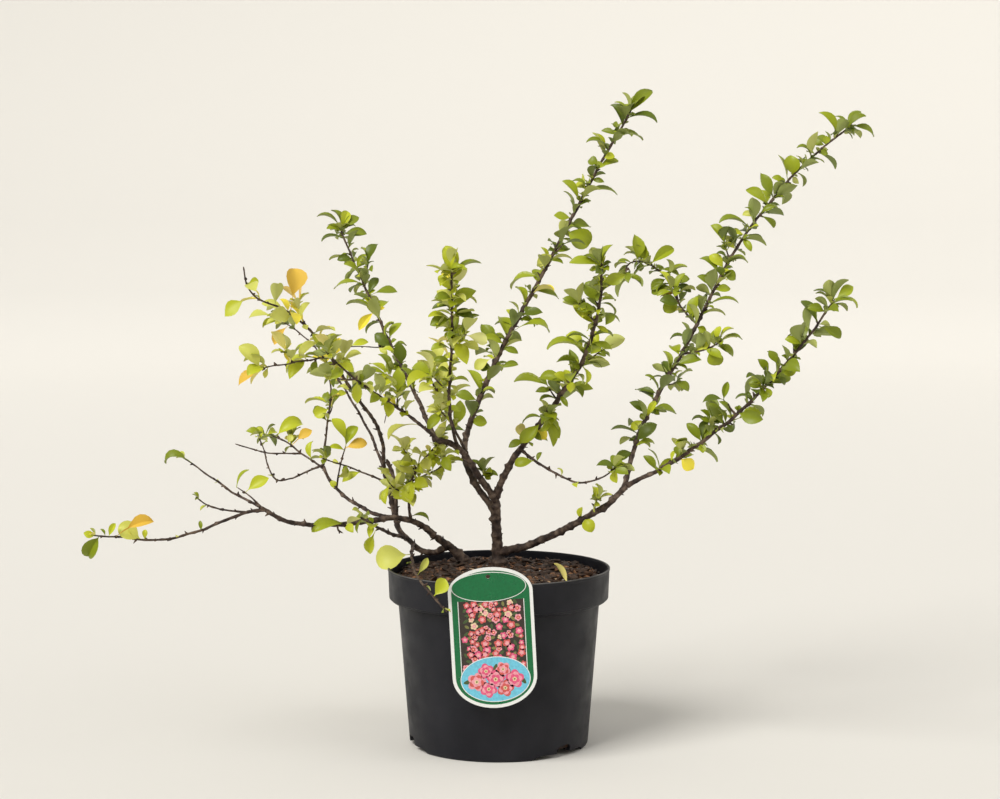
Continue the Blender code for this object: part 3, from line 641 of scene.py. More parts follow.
def bark(name, colours, roughness, depth):
    """Streaked bark with relief of that depth, from dark to weathered."""
    made, shader, tree = surface(name, roughness)
    streaks = ramp(tree, mottle(tree, 150, 8), [(0.36, colours[0]), (0.5, colours[1]), (0.66, colours[2])])
    tree.links.new(streaks, shader.inputs["Base Color"])
    tree.links.new(spread_between(tree, mottle(tree, 320), 0.6, 0.95), shader.inputs["Roughness"])
    relief(tree, shader, mottle(tree, 900, 6), depth)
    return made


paths = {}
for name, limb in LIMBS.items():
    if limb.grows_from:
        start, _ = along(paths[limb.grows_from], limb.along)
    else:
        start = Vector((*STEM_FEET[name], 0)) * MM + UP * (SOIL_LEVEL + SEATING)
    paths[name] = course(name, start)

splits = {}
wood = Heap()
bare_nodes = []
for name, limb in LIMBS.items():
    if not limb.bare:
        splits[name] = 0
        continue
    points, radii = paths[name]
    splits[name] = max(1, round(limb.bare * (len(points) - 1)))
    lower = (list(points[: splits[name] + 1]), list(radii[: splits[name] + 1]))
    if not limb.grows_from:
        foot = (points[1] - points[0]).normalized()
        wide = radii[0] * ROOT_FLARE
        lower = (
            [points[0] - foot * BURIED, points[0], points[0] + foot * FLARE_LENGTH, *lower[0][2:]],
            [wide * FOOT_FLARE, wide, radii[0], *lower[1][2:]],
        )
    sides = THICK_SIDES if limb.thick > THICK_LIMB else THIN_SIDES
    tip = JOINED_TIP if limb.bare < 1 else TIP
    bark_tube(wood, lower, sides, name, collar=bool(limb.grows_from), tip=tip)
    bare_nodes.append(name if limb.bare == 1 else f"{name}_bough")
boughs = wood.piece("stems_and_boughs", bark("Brown quince bark", BARK_COLOURS, 0.8, 0.25 * MM))
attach(boughs, "root")
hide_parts(*bare_nodes)

# Twigs, thorns and buds
# The young leafy shoots that the boughs run out into, darker and smoother than old bark, with short spurs,
# blunt thorns and scaly buds where leaves have fallen.

TURN = 137.5
TURN_SLACK = 20
FIRST_BUD = (0.3, 0.7)
BUD_SPACINGS = (0.8, 1.2)
LEAF_SIZES = (0.8, 1.1)
LEAF_SPREADS = (45, 75)
LEAF_LIFT = (-0.15, 0.5)
LEAF_ROLL = 35
TIP_SPREADS = (12, 40, 55)
TIP_TURN = 130
TIP_SHRINK = 0.12
TIP_INSET = 0.3
BARE_TIP = 4 * MM
TWIG_TIP_LEAVES = 2
SINK = 0.5 * MM
TWIG_THICK = 0.8 * MM
TWIG_THIN = 0.5 * MM
TWIG_STEPS = 3
TWIG_BEND = 0.15
TWIG_LENGTHS = (0.7, 1.2)
TWIG_LEANS = (0.9, 1.5)
TWIG_PLACES = (0.2, 0.8)
LAST_TWIG = 0.85
TWIG_SIDES = 6
THORN_SPACING = 11 * MM
THORN_GAPS = (0.5, 1.5)
THORN_LENGTHS = (0.8, 3.8)
THORN_RADIUS = 0.7 * MM
THORN_GIRTHS = (0.7, 1.4)
THORN_LEAN = 0.5
SPIKE_SIDES = 6
# A thorn's rings, each at a share of its length and with a share of its radius
SPIKE_SHAPE = ((0, 1.6), (0.3, 1.5), (0.5, 1.1), (0.72, 0.75), (0.93, 0.5), (1, 0.2))

# How close a leaf's tip has to be to a corner of the CAD node to be one of its leaves
SAME_PLACE = 0.2 * MM

# Leaves along each leafy part: distance between buds, leaf length, side twigs and their length, the
# seed that the part grows by, and the mix of tints that its leaves share out
Foliage = namedtuple("Foliage", "spacing leaf twigs twig_length seed tint")

FOLIAGE = {
    "tall": Foliage(12, 24, 2, 16, 248, "green"),
    "high_left": Foliage(11.5, 22, 2, 22, 38, "green"),
    "inner_left": Foliage(13, 20, 2, 18, 157, "lime"),
    "centre": Foliage(10.5, 24, 3, 24, 112, "pale"),
    "heart": Foliage(9, 22, 2, 24, 171, "bright"),
    "fork_spur": Foliage(8, 17, 0, 0, 66, "green"),
    "centre_right": Foliage(11, 23, 3, 20, 228, "light green"),
    "low_right": Foliage(28, 17, 0, 0, 198, "green"),
    "right_spur": Foliage(8, 16, 0, 0, 132, "lime"),
    "right_low": Foliage(12, 23, 2, 18, 79, "deep green"),
    "right_high": Foliage(12, 24, 2, 18, 177, "deep green"),
    "arch": Foliage(10, 20, 2, 14, 191, "green"),
    "right_side": Foliage(9, 20, 0, 0, 132, "green"),
    "left_upper": Foliage(34, 17, 0, 0, 160, "lime"),
    "left_low": Foliage(34, 19, 0, 0, 40, "yellow"),
    "left_middle": Foliage(34, 15, 0, 0, 167, "lime"),
    "left_upright": Foliage(22, 19, 1, 12, 34, "lime"),
    "left_fan": Foliage(22, 17, 1, 12, 243, "lime"),
    "fan_side": Foliage(30, 16, 0, 0, 60, "lime"),
    "left_curl": Foliage(34, 15, 0, 0, 138, "lime"),
    "left_high": Foliage(19, 23, 2, 20, 37, "yellow"),
    "reaching": Foliage(22, 21, 1, 14, 188, "yellow"),
    "left_back": Foliage(22, 19, 1, 16, 33, "lime"),
    "left_thin": Foliage(22, 16, 0, 0, 234, "lime"),
    "drooping": Foliage(60, 14, 0, 0, 284, "lime"),
    "knobbly": Foliage(18, 19, 0, 0, 254, "lime"),
    "low_centre": Foliage(8.5, 20, 4, 28, 39, "bright"),
}

# Leafy parts whose tips have lost their leaves
BARE_TIPS = ("left_high",)

Leaf = namedtuple("Leaf", "root way normal length axis")


def leaf_towards(root, way, roll, length, axis=UP):
    """A leaf that points the given way, its blade turned up and then rolled about its rib."""
    facing = UP if abs(way.z) < 0.99 else Vector((0, -1, 0))
    normal = (facing - way * facing.dot(way)).normalized()
    return Leaf(root - way * SINK, way, Quaternion(way, math.radians(roll)) @ normal, length, axis)


def leaf_on(root, axis, azimuth, spread, length, rng):
    """A leaf that leaves its twig at the given spread and lifts to the light."""
    way = axis * math.cos(math.radians(spread)) + radial(axis, azimuth) * math.sin(math.radians(spread))
    way.z += rng.uniform(*LEAF_LIFT)
    return leaf_towards(root, way.normalized(), rng.gauss(0, LEAF_ROLL), length, axis)


def leaves_along(path, first, foliage, at_tip, rng):
    """Leaves at the buds of a twig, turned 137.5 degrees from one to the next, and a few at its tip."""
    steps = len(path[0]) - 1
    length = length_of(path)
    azimuth = rng.uniform(0, 360)
    at = first + foliage.spacing * MM * rng.uniform(*FIRST_BUD)
    leaves = []
    while at < length - BARE_TIP:
        root, axis = along(path, at / length)
        size = foliage.leaf * MM * rng.uniform(*LEAF_SIZES)
        leaves.append(leaf_on(root, axis, azimuth, rng.uniform(*LEAF_SPREADS), size, rng))
        azimuth += TURN + rng.uniform(-TURN_SLACK, TURN_SLACK)
        at += foliage.spacing * MM * rng.uniform(*BUD_SPACINGS)
    tip, axis = along(path, 1 - TIP_INSET / steps)
    for number, spread in enumerate(TIP_SPREADS[:at_tip]):
        size = foliage.leaf * MM * (1 - TIP_SHRINK * number)
        leaves.append(leaf_on(tip, axis, azimuth + number * TIP_TURN, spread, size, rng))
    return leaves


def side_twig(path, share, azimuth, length, rng):
    """A short twig that leaves its stem and bends up."""
    root, axis = along(path, share)
    way = (axis + radial(axis, azimuth) * rng.uniform(*TWIG_LEANS)).normalized()
    points = [root]
    radii = [TWIG_THICK]
    for _ in range(TWIG_STEPS):
        points.append(points[-1] + way * length / TWIG_STEPS)
        way = (way + UP * TWIG_BEND + radial(way, rng.uniform(0, 360)) * TWIG_BEND).normalized()
        radii.append(radii[-1] - (TWIG_THICK - TWIG_THIN) / TWIG_STEPS)
    return points, radii


def growth(name, path, first):
    """The side twigs and the leaves of one leafy part, by its seed."""
    foliage = FOLIAGE[name]
    rng = random.Random(foliage.seed)
    length = length_of(path)
    twigs = []
    at_tip = 0 if name in BARE_TIPS else len(TIP_SPREADS)
    leaves = leaves_along(path, first, foliage, at_tip, rng)
    azimuth = rng.uniform(0, 360)
    for number in range(foliage.twigs):
        share = (number + rng.uniform(*TWIG_PLACES)) / foliage.twigs
        share = (first + (length - first) * LAST_TWIG * share) / length
        reach = foliage.twig_length * MM * rng.uniform(*TWIG_LENGTHS)
        twig = side_twig(path, share, azimuth, reach, rng)
        twigs.append((twig, leaves_along(twig, 0, foliage, TWIG_TIP_LEAVES, rng)))
        azimuth += TURN
    return leaves, twigs


def spike(heap, root, way, length, radius):
    """A short thorn or spur, swollen at its bud, that tapers to a blunt tip."""
    side = radial(way, 0)
    over = way.cross(side)
    rings = []
    for share, girth in SPIKE_SHAPE:
        for number in range(SPIKE_SIDES):
            around = 2 * math.pi * number / SPIKE_SIDES
            out = side * math.cos(around) + over * math.sin(around)
            rings.append(root + way * length * share + out * radius * girth)
    heap.add(rings, ring_faces(len(SPIKE_SHAPE), SPIKE_SIDES))


def node_of(name):
    """The CAD node that holds a leafy part's leaves."""
    while not LIMBS[name].bare:
        name = LIMBS[name].grows_from
    return f"{name}_foliage"


def built_points(node):
    """The places of a CAD node's corners, to find again the leaves that it has."""
    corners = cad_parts[node].data.vertices
    tree = KDTree(len(corners))
    for number, corner in enumerate(corners):
        tree.insert(corner.co, number)
    tree.balance()
    return tree


def kept(tree, leaf):
    """Whether the CAD node has this leaf's tip."""
    return tree.find(leaf.root + leaf.way * (leaf.length + SINK))[2] < SAME_PLACE


young = Heap()
sprays = []
for name in FOLIAGE:
    path = paths[name]
    split = splits[name]
    built = built_points(node_of(name))
    first = length_of(path) * split / (len(path[0]) - 1)
    leaves, twigs = growth(name, path, first)
    bark_tube(young, (path[0][split:], path[1][split:]), THIN_SIDES, f"{name} young", collar=not split)
    runs = [leaves]
    for twig, twig_leaves in twigs:
        if any(kept(built, leaf) for leaf in twig_leaves):
            bark_tube(young, twig, TWIG_SIDES, f"{name} twig", knots=False)
            runs.append(twig_leaves)
    sprays.append((name, [[(leaf, kept(built, leaf)) for leaf in run] for run in runs]))

for name in SHOOTS:
    bark_tube(young, paths[name], TWIG_SIDES, name)

for name, limb in LIMBS.items():
    rng = random.Random(f"thorns {name}")
    length = length_of(paths[name])
    at = THORN_SPACING * rng.uniform(0.5, 1)
    azimuth = rng.uniform(0, 360)
    while at < length:
        root, axis = along(paths[name], at / length)
        way = (axis * THORN_LEAN + radial(axis, azimuth)).normalized()
        girth = (limb.thick + (limb.thin - limb.thick) * at / length) * MM
        reach = girth + rng.uniform(*THORN_LENGTHS) * MM
        spike(young, root, way, reach, THORN_RADIUS * rng.uniform(*THORN_GIRTHS))
        azimuth += TURN
        at += THORN_SPACING * rng.uniform(*THORN_GAPS)

leafy_nodes = sorted({node_of(name) for name in FOLIAGE})
twig_piece = young.piece("twigs_and_thorns", bark("Young quince bark", TWIG_COLOURS, 0.7, 0.1 * MM))
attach(twig_piece, "root")
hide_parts(*leafy_nodes)

# Leaves
# Thin living blades on short stalks, glossy green above and paler beneath, folded along the rib with the
# tip turned down. Small round ones sit at each bud, and the shaded left shoots are turning yellow.

STATIONS = 12
SMALL_STATIONS = 8
EVEN_STATIONS = 0.35
ACROSS = (-1, -0.6, 0, 0.6, 1)
BLADE_THICKNESS = 0.22 * MM
STALK_HALF = 0.33 * MM
STALK = 0.13
SWAY = 0.13
RIPPLE = 0.03
RIPPLE_WAVES = 2.2
CUPPING = 1.3
BLUNTNESS = 0.95

# Buds closer than the first spacing in mm carry more small leaves, and those further apart than the
# second one carry a single shorter leaf
RICH_SPACING = 15
SPARSE_SPACING = 28
SPARSE_SHARE = 0.55
BROAD_STRETCH = 1.05

# Small leaves beside each leaf of the rule: how often they grow, and how far they spread in degrees
SLENDER_CHANCE = 0.4
SLENDER_SPREADS = (60, 100)
MIDDLE_CHANCE = 0.5
MIDDLE_SPREADS = (45, 95)
ROUND_SPREADS = (50, 100)
RICH_ROUNDS = (1, 1, 2, 2)
POOR_ROUNDS = (0, 1, 1)
BETWEEN_CHANCE = 0.5
BETWEEN_PLACES = (0.35, 0.65)
BETWEEN_SPREADS = (50, 95)

# How a blade is shaped: its lengths in mm where they are drawn, its width for its length, where it is
# widest, how far it arches, its tip falls and its sides fold up in radians, the share of its length that
# is stalk, and how many stations it has along its rib
Form = namedtuple("Form", "lengths widths widest arches falls folds stalk stations")
BROAD = Form(None, (0.44, 0.58), (0.5, 0.6), (0.15, 0.55), (0.2, 0.8), (0.15, 0.65), STALK, STATIONS)
LONG = BROAD._replace(stalk=0.4, widths=(0.38, 0.46))
WIDE = BROAD._replace(widths=(0.72, 0.82), folds=(0.2, 0.5))
NODDING = WIDE._replace(stalk=0.22, widths=(0.64, 0.68), falls=(1.1, 1.2))
HALF = BROAD._replace(widths=(0.4, 0.47), arches=(0.3, 0.5))
SLENDER = Form((13, 22), (0.33, 0.44), (0.52, 0.6), (0.4, 0.8), (0.2, 0.9), (0.15, 0.55), STALK, STATIONS)
MIDDLE = Form(
    (9, 16), (0.44, 0.6), (0.5, 0.6), (0.15, 0.6), (0.1, 0.6), (0.15, 0.55), STALK, SMALL_STATIONS,
)
ROUND = Form(
    (5.5, 10), (0.62, 0.82), (0.54, 0.62), (0.1, 0.5), (0, 0.4), (0.1, 0.5), STALK, SMALL_STATIONS,
)

# Leaves that stand out by themselves, by limb: the share along it, the leaf's bearing, rise and length,
# its roll about its rib, its form and its tint
SINGLES = {
    "tall": (
        (0.99, 15, 52, 33, 60, HALF, "green"), (0.96, 190, 68, 25, -60, BROAD, "deep_green"),
        (0.98, -15, 0, 31, 25, HALF, "deep_green"), (0.94, 170, 12, 15, -50, MIDDLE, "green"),
        (0.925, 20, 6, 31, 15, SLENDER, "green"), (0.905, 195, 22, 25, -20, HALF, "green"),
        (0.88, -10, 10, 11, 60, ROUND, "lime"), (0.865, 170, 20, 12, -60, ROUND, "green"),
        (0.81, 165, 18, 18, -20, SLENDER, "green"), (0.79, 10, 6, 33, 20, SLENDER, "green"),
        (0.77, 190, 48, 26, -50, HALF, "fresh_green"), (0.73, 200, 8, 17, -60, BROAD, "fresh_green"),
        (0.7, -10, -33, 27, 75, WIDE, "fresh_green"), (0.64, 200, -30, 19, -60, BROAD, "pale_lime"),
        (0.58, 165, -15, 33, -25, SLENDER, "fresh_green"), (0.545, 15, -10, 26, 35, HALF, "green"),
        (0.51, -60, -40, 13, 30, ROUND, "deep_green"), (0.48, -15, 12, 23, 40, HALF, "deep_green"),
        (0.47, 25, -10, 21, 30, SLENDER, "green"), (0.47, 190, 45, 14, -60, BROAD, "lime"),
        (0.455, 160, 5, 20, -10, SLENDER, "green"), (0.41, 200, 14, 22, -55, BROAD, "fresh_green"),
        (0.43, -5, 18, 44, 20, SLENDER._replace(stalk=0.45, falls=(1.1, 1.2)), "fresh_green"),
        (0.4, -10, -18, 16, 60, HALF, "green"), (0.38, 195, -22, 25, -60, LONG, "pale_lime"),
        (0.35, 170, 5, 12, -60, ROUND, "deep_green"), (0.27, 195, 14, 23, -45, BROAD, "green"),
        (0.22, 0, 8, 15, 70, WIDE, "fresh_green"), (0.2, 165, 4, 23, -35, HALF, "deep_green"),
    ),
    "tall_spur": ((1, 0, 10, 18, 50, HALF, "green"),),
    "right_high": (
        (1, -10, -18, 26, 30, HALF, "green"), (1, 20, 55, 18, 55, HALF, "green"),
        (0.99, 165, 50, 20, -20, SLENDER, "green"), (0.965, 190, 60, 30, -60, HALF, "fresh_green"),
        (0.93, 170, 15, 12, -60, ROUND, "green"), (0.91, 0, -10, 10, 60, ROUND, "green"),
        (0.89, 195, 38, 21, -25, SLENDER, "green"), (0.87, 15, 5, 22, 10, SLENDER, "green"),
        (0.83, -80, 82, 20, -10, WIDE, "fresh_green"), (0.8, 195, 35, 15, -65, BROAD, "fresh_green"),
        (0.76, 175, 58, 27, -70, HALF, "green"), (0.75, -10, 8, 18, 5, SLENDER, "green"),
        (0.74, 200, 32, 27, -60, BROAD, "fresh_green"), (0.71, 10, -45, 19, 60, BROAD, "green"),
        (0.7, 170, 10, 16, -50, BROAD, "pale_lime"), (0.67, 195, 14, 32, -20, SLENDER, "green"),
        (0.65, 165, 14, 15, -50, BROAD, "lime"), (0.64, -60, -45, 17, 30, BROAD, "fresh_green"),
        (0.645, 10, -8, 20, 0, SLENDER, "green"), (0.61, 200, 25, 13, -60, BROAD, "lime"),
        (0.56, 0, 18, 25, 10, SLENDER, "green"), (0.555, 170, 52, 20, -70, BROAD, "lime"),
        (0.55, -20, -22, 14, 75, WIDE, "green"), (0.5, 190, 40, 21, -60, BROAD, "green"),
        (0.5, 10, 5, 16, 60, BROAD, "fresh_green"), (0.455, -10, 14, 32, 10, SLENDER, "green"),
        (0.46, 185, 35, 14, -50, BROAD, "green"), (0.37, 170, 8, 19, -10, SLENDER, "deep_green"),
        (0.26, 190, 4, 17, 0, SLENDER, "green"), (0.22, 165, 10, 18, -35, HALF, "deep_green"),
        (0.17, 195, 40, 20, -60, BROAD, "deep_green"), (0.155, 175, -35, 16, -65, BROAD, "lime"),
        (0.16, 10, 55, 18, 60, HALF, "lime"), (0.12, 200, 14, 27, 0, SLENDER, "deep_green"),
        (0.11, 0, 40, 13, 50, BROAD, "green"), (0.09, 15, 12, 21, 30, SLENDER, "fresh_green"),
        (0.08, 200, -20, 19, -50, BROAD, "deep_green"),
    ),
    "right_side": (
        (0.3, 10, 28, 19, 70, BROAD, "lime"), (0.8, 0, -25, 17, 55, BROAD, "green"),
        (1, -15, 4, 20, 15, SLENDER, "green"), (0.7, -30, -70, 19, 70, WIDE, "fresh_green"),
        (0.9, 10, -42, 20, 50, HALF, "green"),
    ),
    "arch": (
        (0.68, 5, 34, 29, 65, BROAD, "fresh_green"), (0.8, 60, 82, 26, 28, BROAD, "fresh_green"),
        (0.83, 190, 10, 16, -20, SLENDER, "green"), (0.6, 0, -12, 22, 40, SLENDER, "green"),
        (0.3, 195, -50, 18, -75, WIDE, "fresh_green"), (0.35, 180, -10, 13, -60, BROAD, "orange"),
        (0.52, 5, 26, 23, 20, HALF, "fresh_green"), (0.46, -10, 8, 19, 60, BROAD, "green"),
        (0.42, 0, -18, 19, 60, BROAD, "deep_green"), (0.5, 185, -30, 19, -60, BROAD, "green"),
        (0.1, 10, 68, 12, 60, WIDE, "fresh_green"),
    ),
    "right_low": (
        (1, 5, 30, 19, 60, BROAD, "fresh_green"), (1, 170, 30, 19, -15, SLENDER, "deep_green"),
        (1, -15, -15, 22, 10, SLENDER, "fresh_green"), (0.95, 195, 24, 16, -60, BROAD, "green"),
        (0.9, 0, -28, 23, 65, BROAD._replace(stalk=0.3), "green"), (0.86, 20, 78, 27, -70, BROAD, "green"),
        (0.84, 170, 14, 17, -10, SLENDER, "green"), (0.82, 190, 20, 15, -60, BROAD, "fresh_green"),
        (0.7, 170, 68, 19, -60, LONG, "green"), (0.7, 0, 4, 14, 70, WIDE, "fresh_green"),
        (0.68, 10, -40, 12, 60, BROAD, "deep_green"), (0.66, 190, 58, 21, -60, LONG, "green"),
        (0.62, 170, 20, 13, -60, WIDE, "green"), (0.56, 185, 10, 16, -20, SLENDER, "deep_green"),
        (0.43, 5, 20, 32, 50, LONG, "fresh_green"), (0.42, 190, 55, 22, -55, BROAD, "green"),
        (0.33, 10, 60, 15, 40, HALF, "green"), (0.32, 170, 50, 21, -60, BROAD, "green"),
        (0.22, -20, -35, 15, 70, WIDE, "yellow"), (0.12, 170, 58, 18, -60, BROAD, "green"),
        (0.12, -10, 28, 18, 65, BROAD, "fresh_green"),
    ),
    "right_side_shoot": ((1, 190, 2, 19, -30, HALF, "deep_green"), (1, 20, 80, 16, 60, HALF, "green")),
    "right": (
        (0.93, 215, 8, 21, 20, BROAD, "brown"), (0.6, 80, 84, 12, -60, WIDE, "lime"),
        (0.64, -60, -58, 15, 40, WIDE, "lime"),
    ),
    "low_right": (
        (1, 190, 14, 18, -35, HALF, "deep_green"), (1, -60, -82, 13, 50, WIDE, "lime"),
        (0.22, 190, -14, 19, -55, BROAD, "fresh_green"), (0.25, 30, 70, 11, 30, SLENDER, "green"),
        (0.52, 130, 60, 9, 30, SLENDER, "lime"),
    ),
    "centre_right": (
        (0.99, 190, 8, 27, -40, HALF, "fresh_green"), (0.86, 170, 50, 20, -70, WIDE, "green"),
        (0.85, 10, -28, 19, 10, SLENDER, "green"), (0.83, 195, -4, 18, -50, BROAD, "green"),
        (0.8, -15, -4, 21, 10, SLENDER, "green"), (0.72, 15, 4, 21, 25, HALF, "green"),
        (0.69, -15, -14, 20, 35, HALF, "fresh_green"), (0.68, -60, -20, 12, 40, ROUND, "deep_green"),
        (0.7, 165, 12, 22, 0, SLENDER, "green"), (0.66, 190, 14, 36, -25, SLENDER, "fresh_green"),
        (0.6, 200, 12, 23, -30, HALF, "green"), (0.58, 10, 10, 21, 20, SLENDER, "green"),
        (0.5, 170, 18, 27, -45, HALF, "fresh_green"), (0.5, 200, 40, 17, -60, BROAD, "lime"),
        (0.46, -5, 14, 27, 45, HALF, "fresh_green"), (0.42, 195, 4, 17, -20, SLENDER, "green"),
        (0.36, -80, -78, 13, 20, BROAD, "pale_lime"), (0.33, 170, -8, 21, -10, SLENDER, "green"),
        (0.33, -10, -45, 22, 70, BROAD, "fresh_green"), (0.31, 200, -48, 25, -60, BROAD, "fresh_green"),
        (0.28, -30, -35, 13, 60, WIDE, "yellow"), (0.26, 15, -20, 16, 50, HALF, "green"),
        (0.22, 195, -10, 17, -55, BROAD, "green"),
    ),
    "centre_right_spur": (
        (1, 188, 14, 30, -40, HALF, "fresh_green"), (0.9, 170, 50, 12, -50, BROAD, "green"),
        (0.6, 200, 0, 15, -50, SLENDER, "green"),
    ),
    "centre": (
        (0.9, 185, 80, 36, -70, LONG._replace(stalk=0.2, widths=(0.46, 0.5)), "lime"),
        (0.95, 15, 26, 30, 10, SLENDER, "green"),
        (0.88, 170, 45, 19, -60, HALF, "lime"), (0.85, 205, 10, 17, -55, BROAD, "green"),
        (0.8, -10, 45, 27, 70, BROAD, "fresh_green"), (0.84, 15, 0, 23, 15, SLENDER, "lime"),
        (0.81, 175, 0, 17, -40, HALF, "deep_green"), (0.79, -15, -18, 19, 50, BROAD, "deep_green"),
        (0.75, 195, -10, 19, -55, BROAD, "green"), (0.7, 0, -30, 14, 75, WIDE, "fresh_green"),
        (0.62, -10, -8, 24, 55, LONG, "pale_lime"), (0.53, 190, 0, 15, -60, BROAD, "green"),
        (0.42, 10, 5, 17, 20, SLENDER, "fresh_green"),
    ),
    "high_left": (
        (1, 185, 30, 25, -10, SLENDER, "green"), (0.99, 10, 34, 21, 60, BROAD, "green"),
        (0.98, 200, 12, 15, -50, BROAD, "fresh_green"), (0.97, 0, 2, 23, 55, BROAD, "green"),
        (0.95, 190, 2, 23, -15, SLENDER, "deep_green"),
        (0.87, 190, 0, 15, -60, BROAD, "deep_green"), (0.83, 15, 62, 17, 55, HALF, "fresh_green"),
        (0.82, 0, -40, 14, 60, HALF, "deep_green"), (0.76, 170, -8, 31, -15, SLENDER, "fresh_green"),
        (0.72, 10, 45, 10, 40, SLENDER, "green"), (0.7, -5, 10, 27, 35, HALF._replace(stalk=0.25), "green"),
        (0.67, 10, -10, 8, 60, ROUND, "green"), (0.63, 195, -44, 23, -60, BROAD, "yellow"),
        (0.63, 0, 14, 9, 60, BROAD, "yellow"), (0.61, 165, 22, 33, 0, SLENDER, "green"),
        (0.52, 190, -78, 15, -60, BROAD, "pale_lime"),
    ),
    "cross_twig": ((0.95, 10, 10, 18, 50, HALF, "lime"), (0.3, -40, -30, 12, 40, BROAD, "pale_lime")),
    "inner_left": (
        (0.15, 190, -18, 34, -10, SLENDER._replace(stalk=0.4, arches=(0.7, 0.8)), "pale_lime"),
        (0.9, -10, -22, 16, 60, BROAD, "lime"), (0.73, -80, -74, 19, 20, BROAD, "lime"),
    ),
    "left_high": (
        (0.95, 10, 14, 10, 60, ROUND, "lime"), (0.91, 190, -28, 29, -55, LONG, "lime"),
        (0.785, 170, 20, 21, -55, BROAD, "pale_lime"), (0.77, 200, 60, 14, -60, BROAD, "yellow"),
        (0.762, 60, 84, 39, 30, LONG._replace(widths=(0.52, 0.56), folds=(0.4, 0.5)), "orange"),
        (0.75, 195, -25, 17, -60, BROAD, "pale_lime"), (0.71, 10, 70, 20, 40, SLENDER, "pale_lime"),
        (0.6, 190, -18, 19, -45, HALF, "pale_lime"), (0.6, -60, 20, 16, 30, BROAD, "green"),
        (0.59, 20, 30, 13, 20, SLENDER, "deep_green"), (0.58, -100, 10, 17, 20, BROAD, "green"),
    ),
    "left_back": (
        (0.95, 185, -50, 23, -60, BROAD, "orange"), (1, 170, -12, 19, -50, BROAD, "lime"),
        (1, 185, 12, 32, -30, LONG, "pale_lime"),
    ),
    "reaching": (
        (1, 190, 56, 27, -70, BROAD, "pale_lime"), (1, 185, -36, 23, -45, HALF, "orange"),
        (0.62, 160, 80, 13, -70, BROAD, "yellow"), (0.22, 175, -16, 32, -30, SLENDER, "lime"),
        (0.22, 200, -70, 12, -60, BROAD, "green"),
    ),
    "left_upright": (
        (0.53, 190, -22, 15, -70, WIDE, "lime"), (0.56, 170, 8, 25, 0, SLENDER, "lime"),
        (0.62, -60, 60, 9, 40, ROUND, "lime"),
    ),
    "left_fan": (
        (0.98, 190, 14, 17, -50, BROAD, "fresh_green"), (0.97, 170, 45, 10, -60, BROAD, "lime"),
        (0.78, 10, 30, 33, 50, HALF._replace(arches=(0.7, 0.8), falls=(0.8, 0.9)), "lime"),
        (0.54, 5, 38, 24, 60, LONG, "orange"), (0.6, 20, 60, 9, 60, ROUND, "pale_lime"),
        (0.2, 160, 84, 20, -40, SLENDER, "lime"),
    ),
    "mid_shoot": (
        (1, 185, 66, 31, -55, LONG._replace(stalk=0.25, arches=(0.6, 0.7)), "lime"),
        (1, 10, 62, 22, 60, BROAD, "fresh_green"), (0.95, -5, 14, 22, 60, BROAD, "orange"),
        (0.9, 195, 20, 15, -60, BROAD, "lime"), (0.55, 170, 20, 9, -60, BROAD, "pale_lime"),
    ),
    "low_centre": (
        (0.05, 0, -3, 19, 20, SLENDER, "green"), (0.4, 190, 12, 22, -60, BROAD, "pale_lime"),
        (0.45, 205, -40, 20, -60, WIDE, "lime"), (0.5, -90, -62, 22, 30, WIDE, "lime"),
        (0.55, 185, 40, 23, -60, BROAD, "pale_lime"), (0.62, -70, 5, 18, 40, BROAD, "lime"),
        (0.68, 170, 10, 19, -50, BROAD, "lime"), (0.8, -80, -35, 16, 30, WIDE, "pale_lime"),
        (0.88, 10, -12, 15, 60, BROAD, "lime"), (0.97, 15, 30, 13, 60, BROAD, "pale_lime"),
    ),
    "left_thin": ((0.4, 190, -20, 20, -50, HALF, "lime"),),
    "left_mid": ((0.72, 160, 50, 11, -60, BROAD, "lime"),),
    "left": (
        (0.515, 225, 0, 35, -40, HALF._replace(falls=(1.2, 1.3)), "fresh_green"),
        (0.5, -60, -20, 14, 40, BROAD, "lime"),
    ),
    "left_tuft": (
        (1, 10, 58, 19, 15, SLENDER, "fresh_green"), (0.7, 5, 36, 24, 60, BROAD._replace(stalk=0.2), "lime"),
    ),
    "left_upper": (
        (0.86, 185, 16, 29, -35, LONG._replace(stalk=0.25, arches=(0.6, 0.7), falls=(1.4, 1.6)), "green"),
    ),
    "left_low": (
        (0.95, 195, -60, 22, -70, WIDE._replace(folds=(0.7, 0.7), falls=(0.8, 0.9)), "green"),
        (0.86, 5, 30, 36, 60, LONG._replace(widths=(0.38, 0.42), arches=(0.4, 0.5)), "orange"),
        (0.72, 190, 30, 23, -70, WIDE, "pale_lime"),
        (0.9, 20, 60, 13, 60, BROAD, "lime"), (0.7, 40, 80, 9, 50, BROAD, "lime"),
        (0.92, 170, 60, 8, -20, SLENDER, "green"), (0.38, 120, 80, 9, -20, SLENDER, "green"),
    ),
    "drooping": (
        (0.28, 195, -8, 35, -62, NODDING, "pale_lime"), (0.88, 15, 50, 18, 80, WIDE, "lime"),
    ),
    "knobbly": ((0.66, 200, -62, 25, -60, BROAD._replace(stalk=0.35), "lime"),),
    "right_spur": ((0.9, -120, -60, 12, 60, BROAD, "lime"),),
}
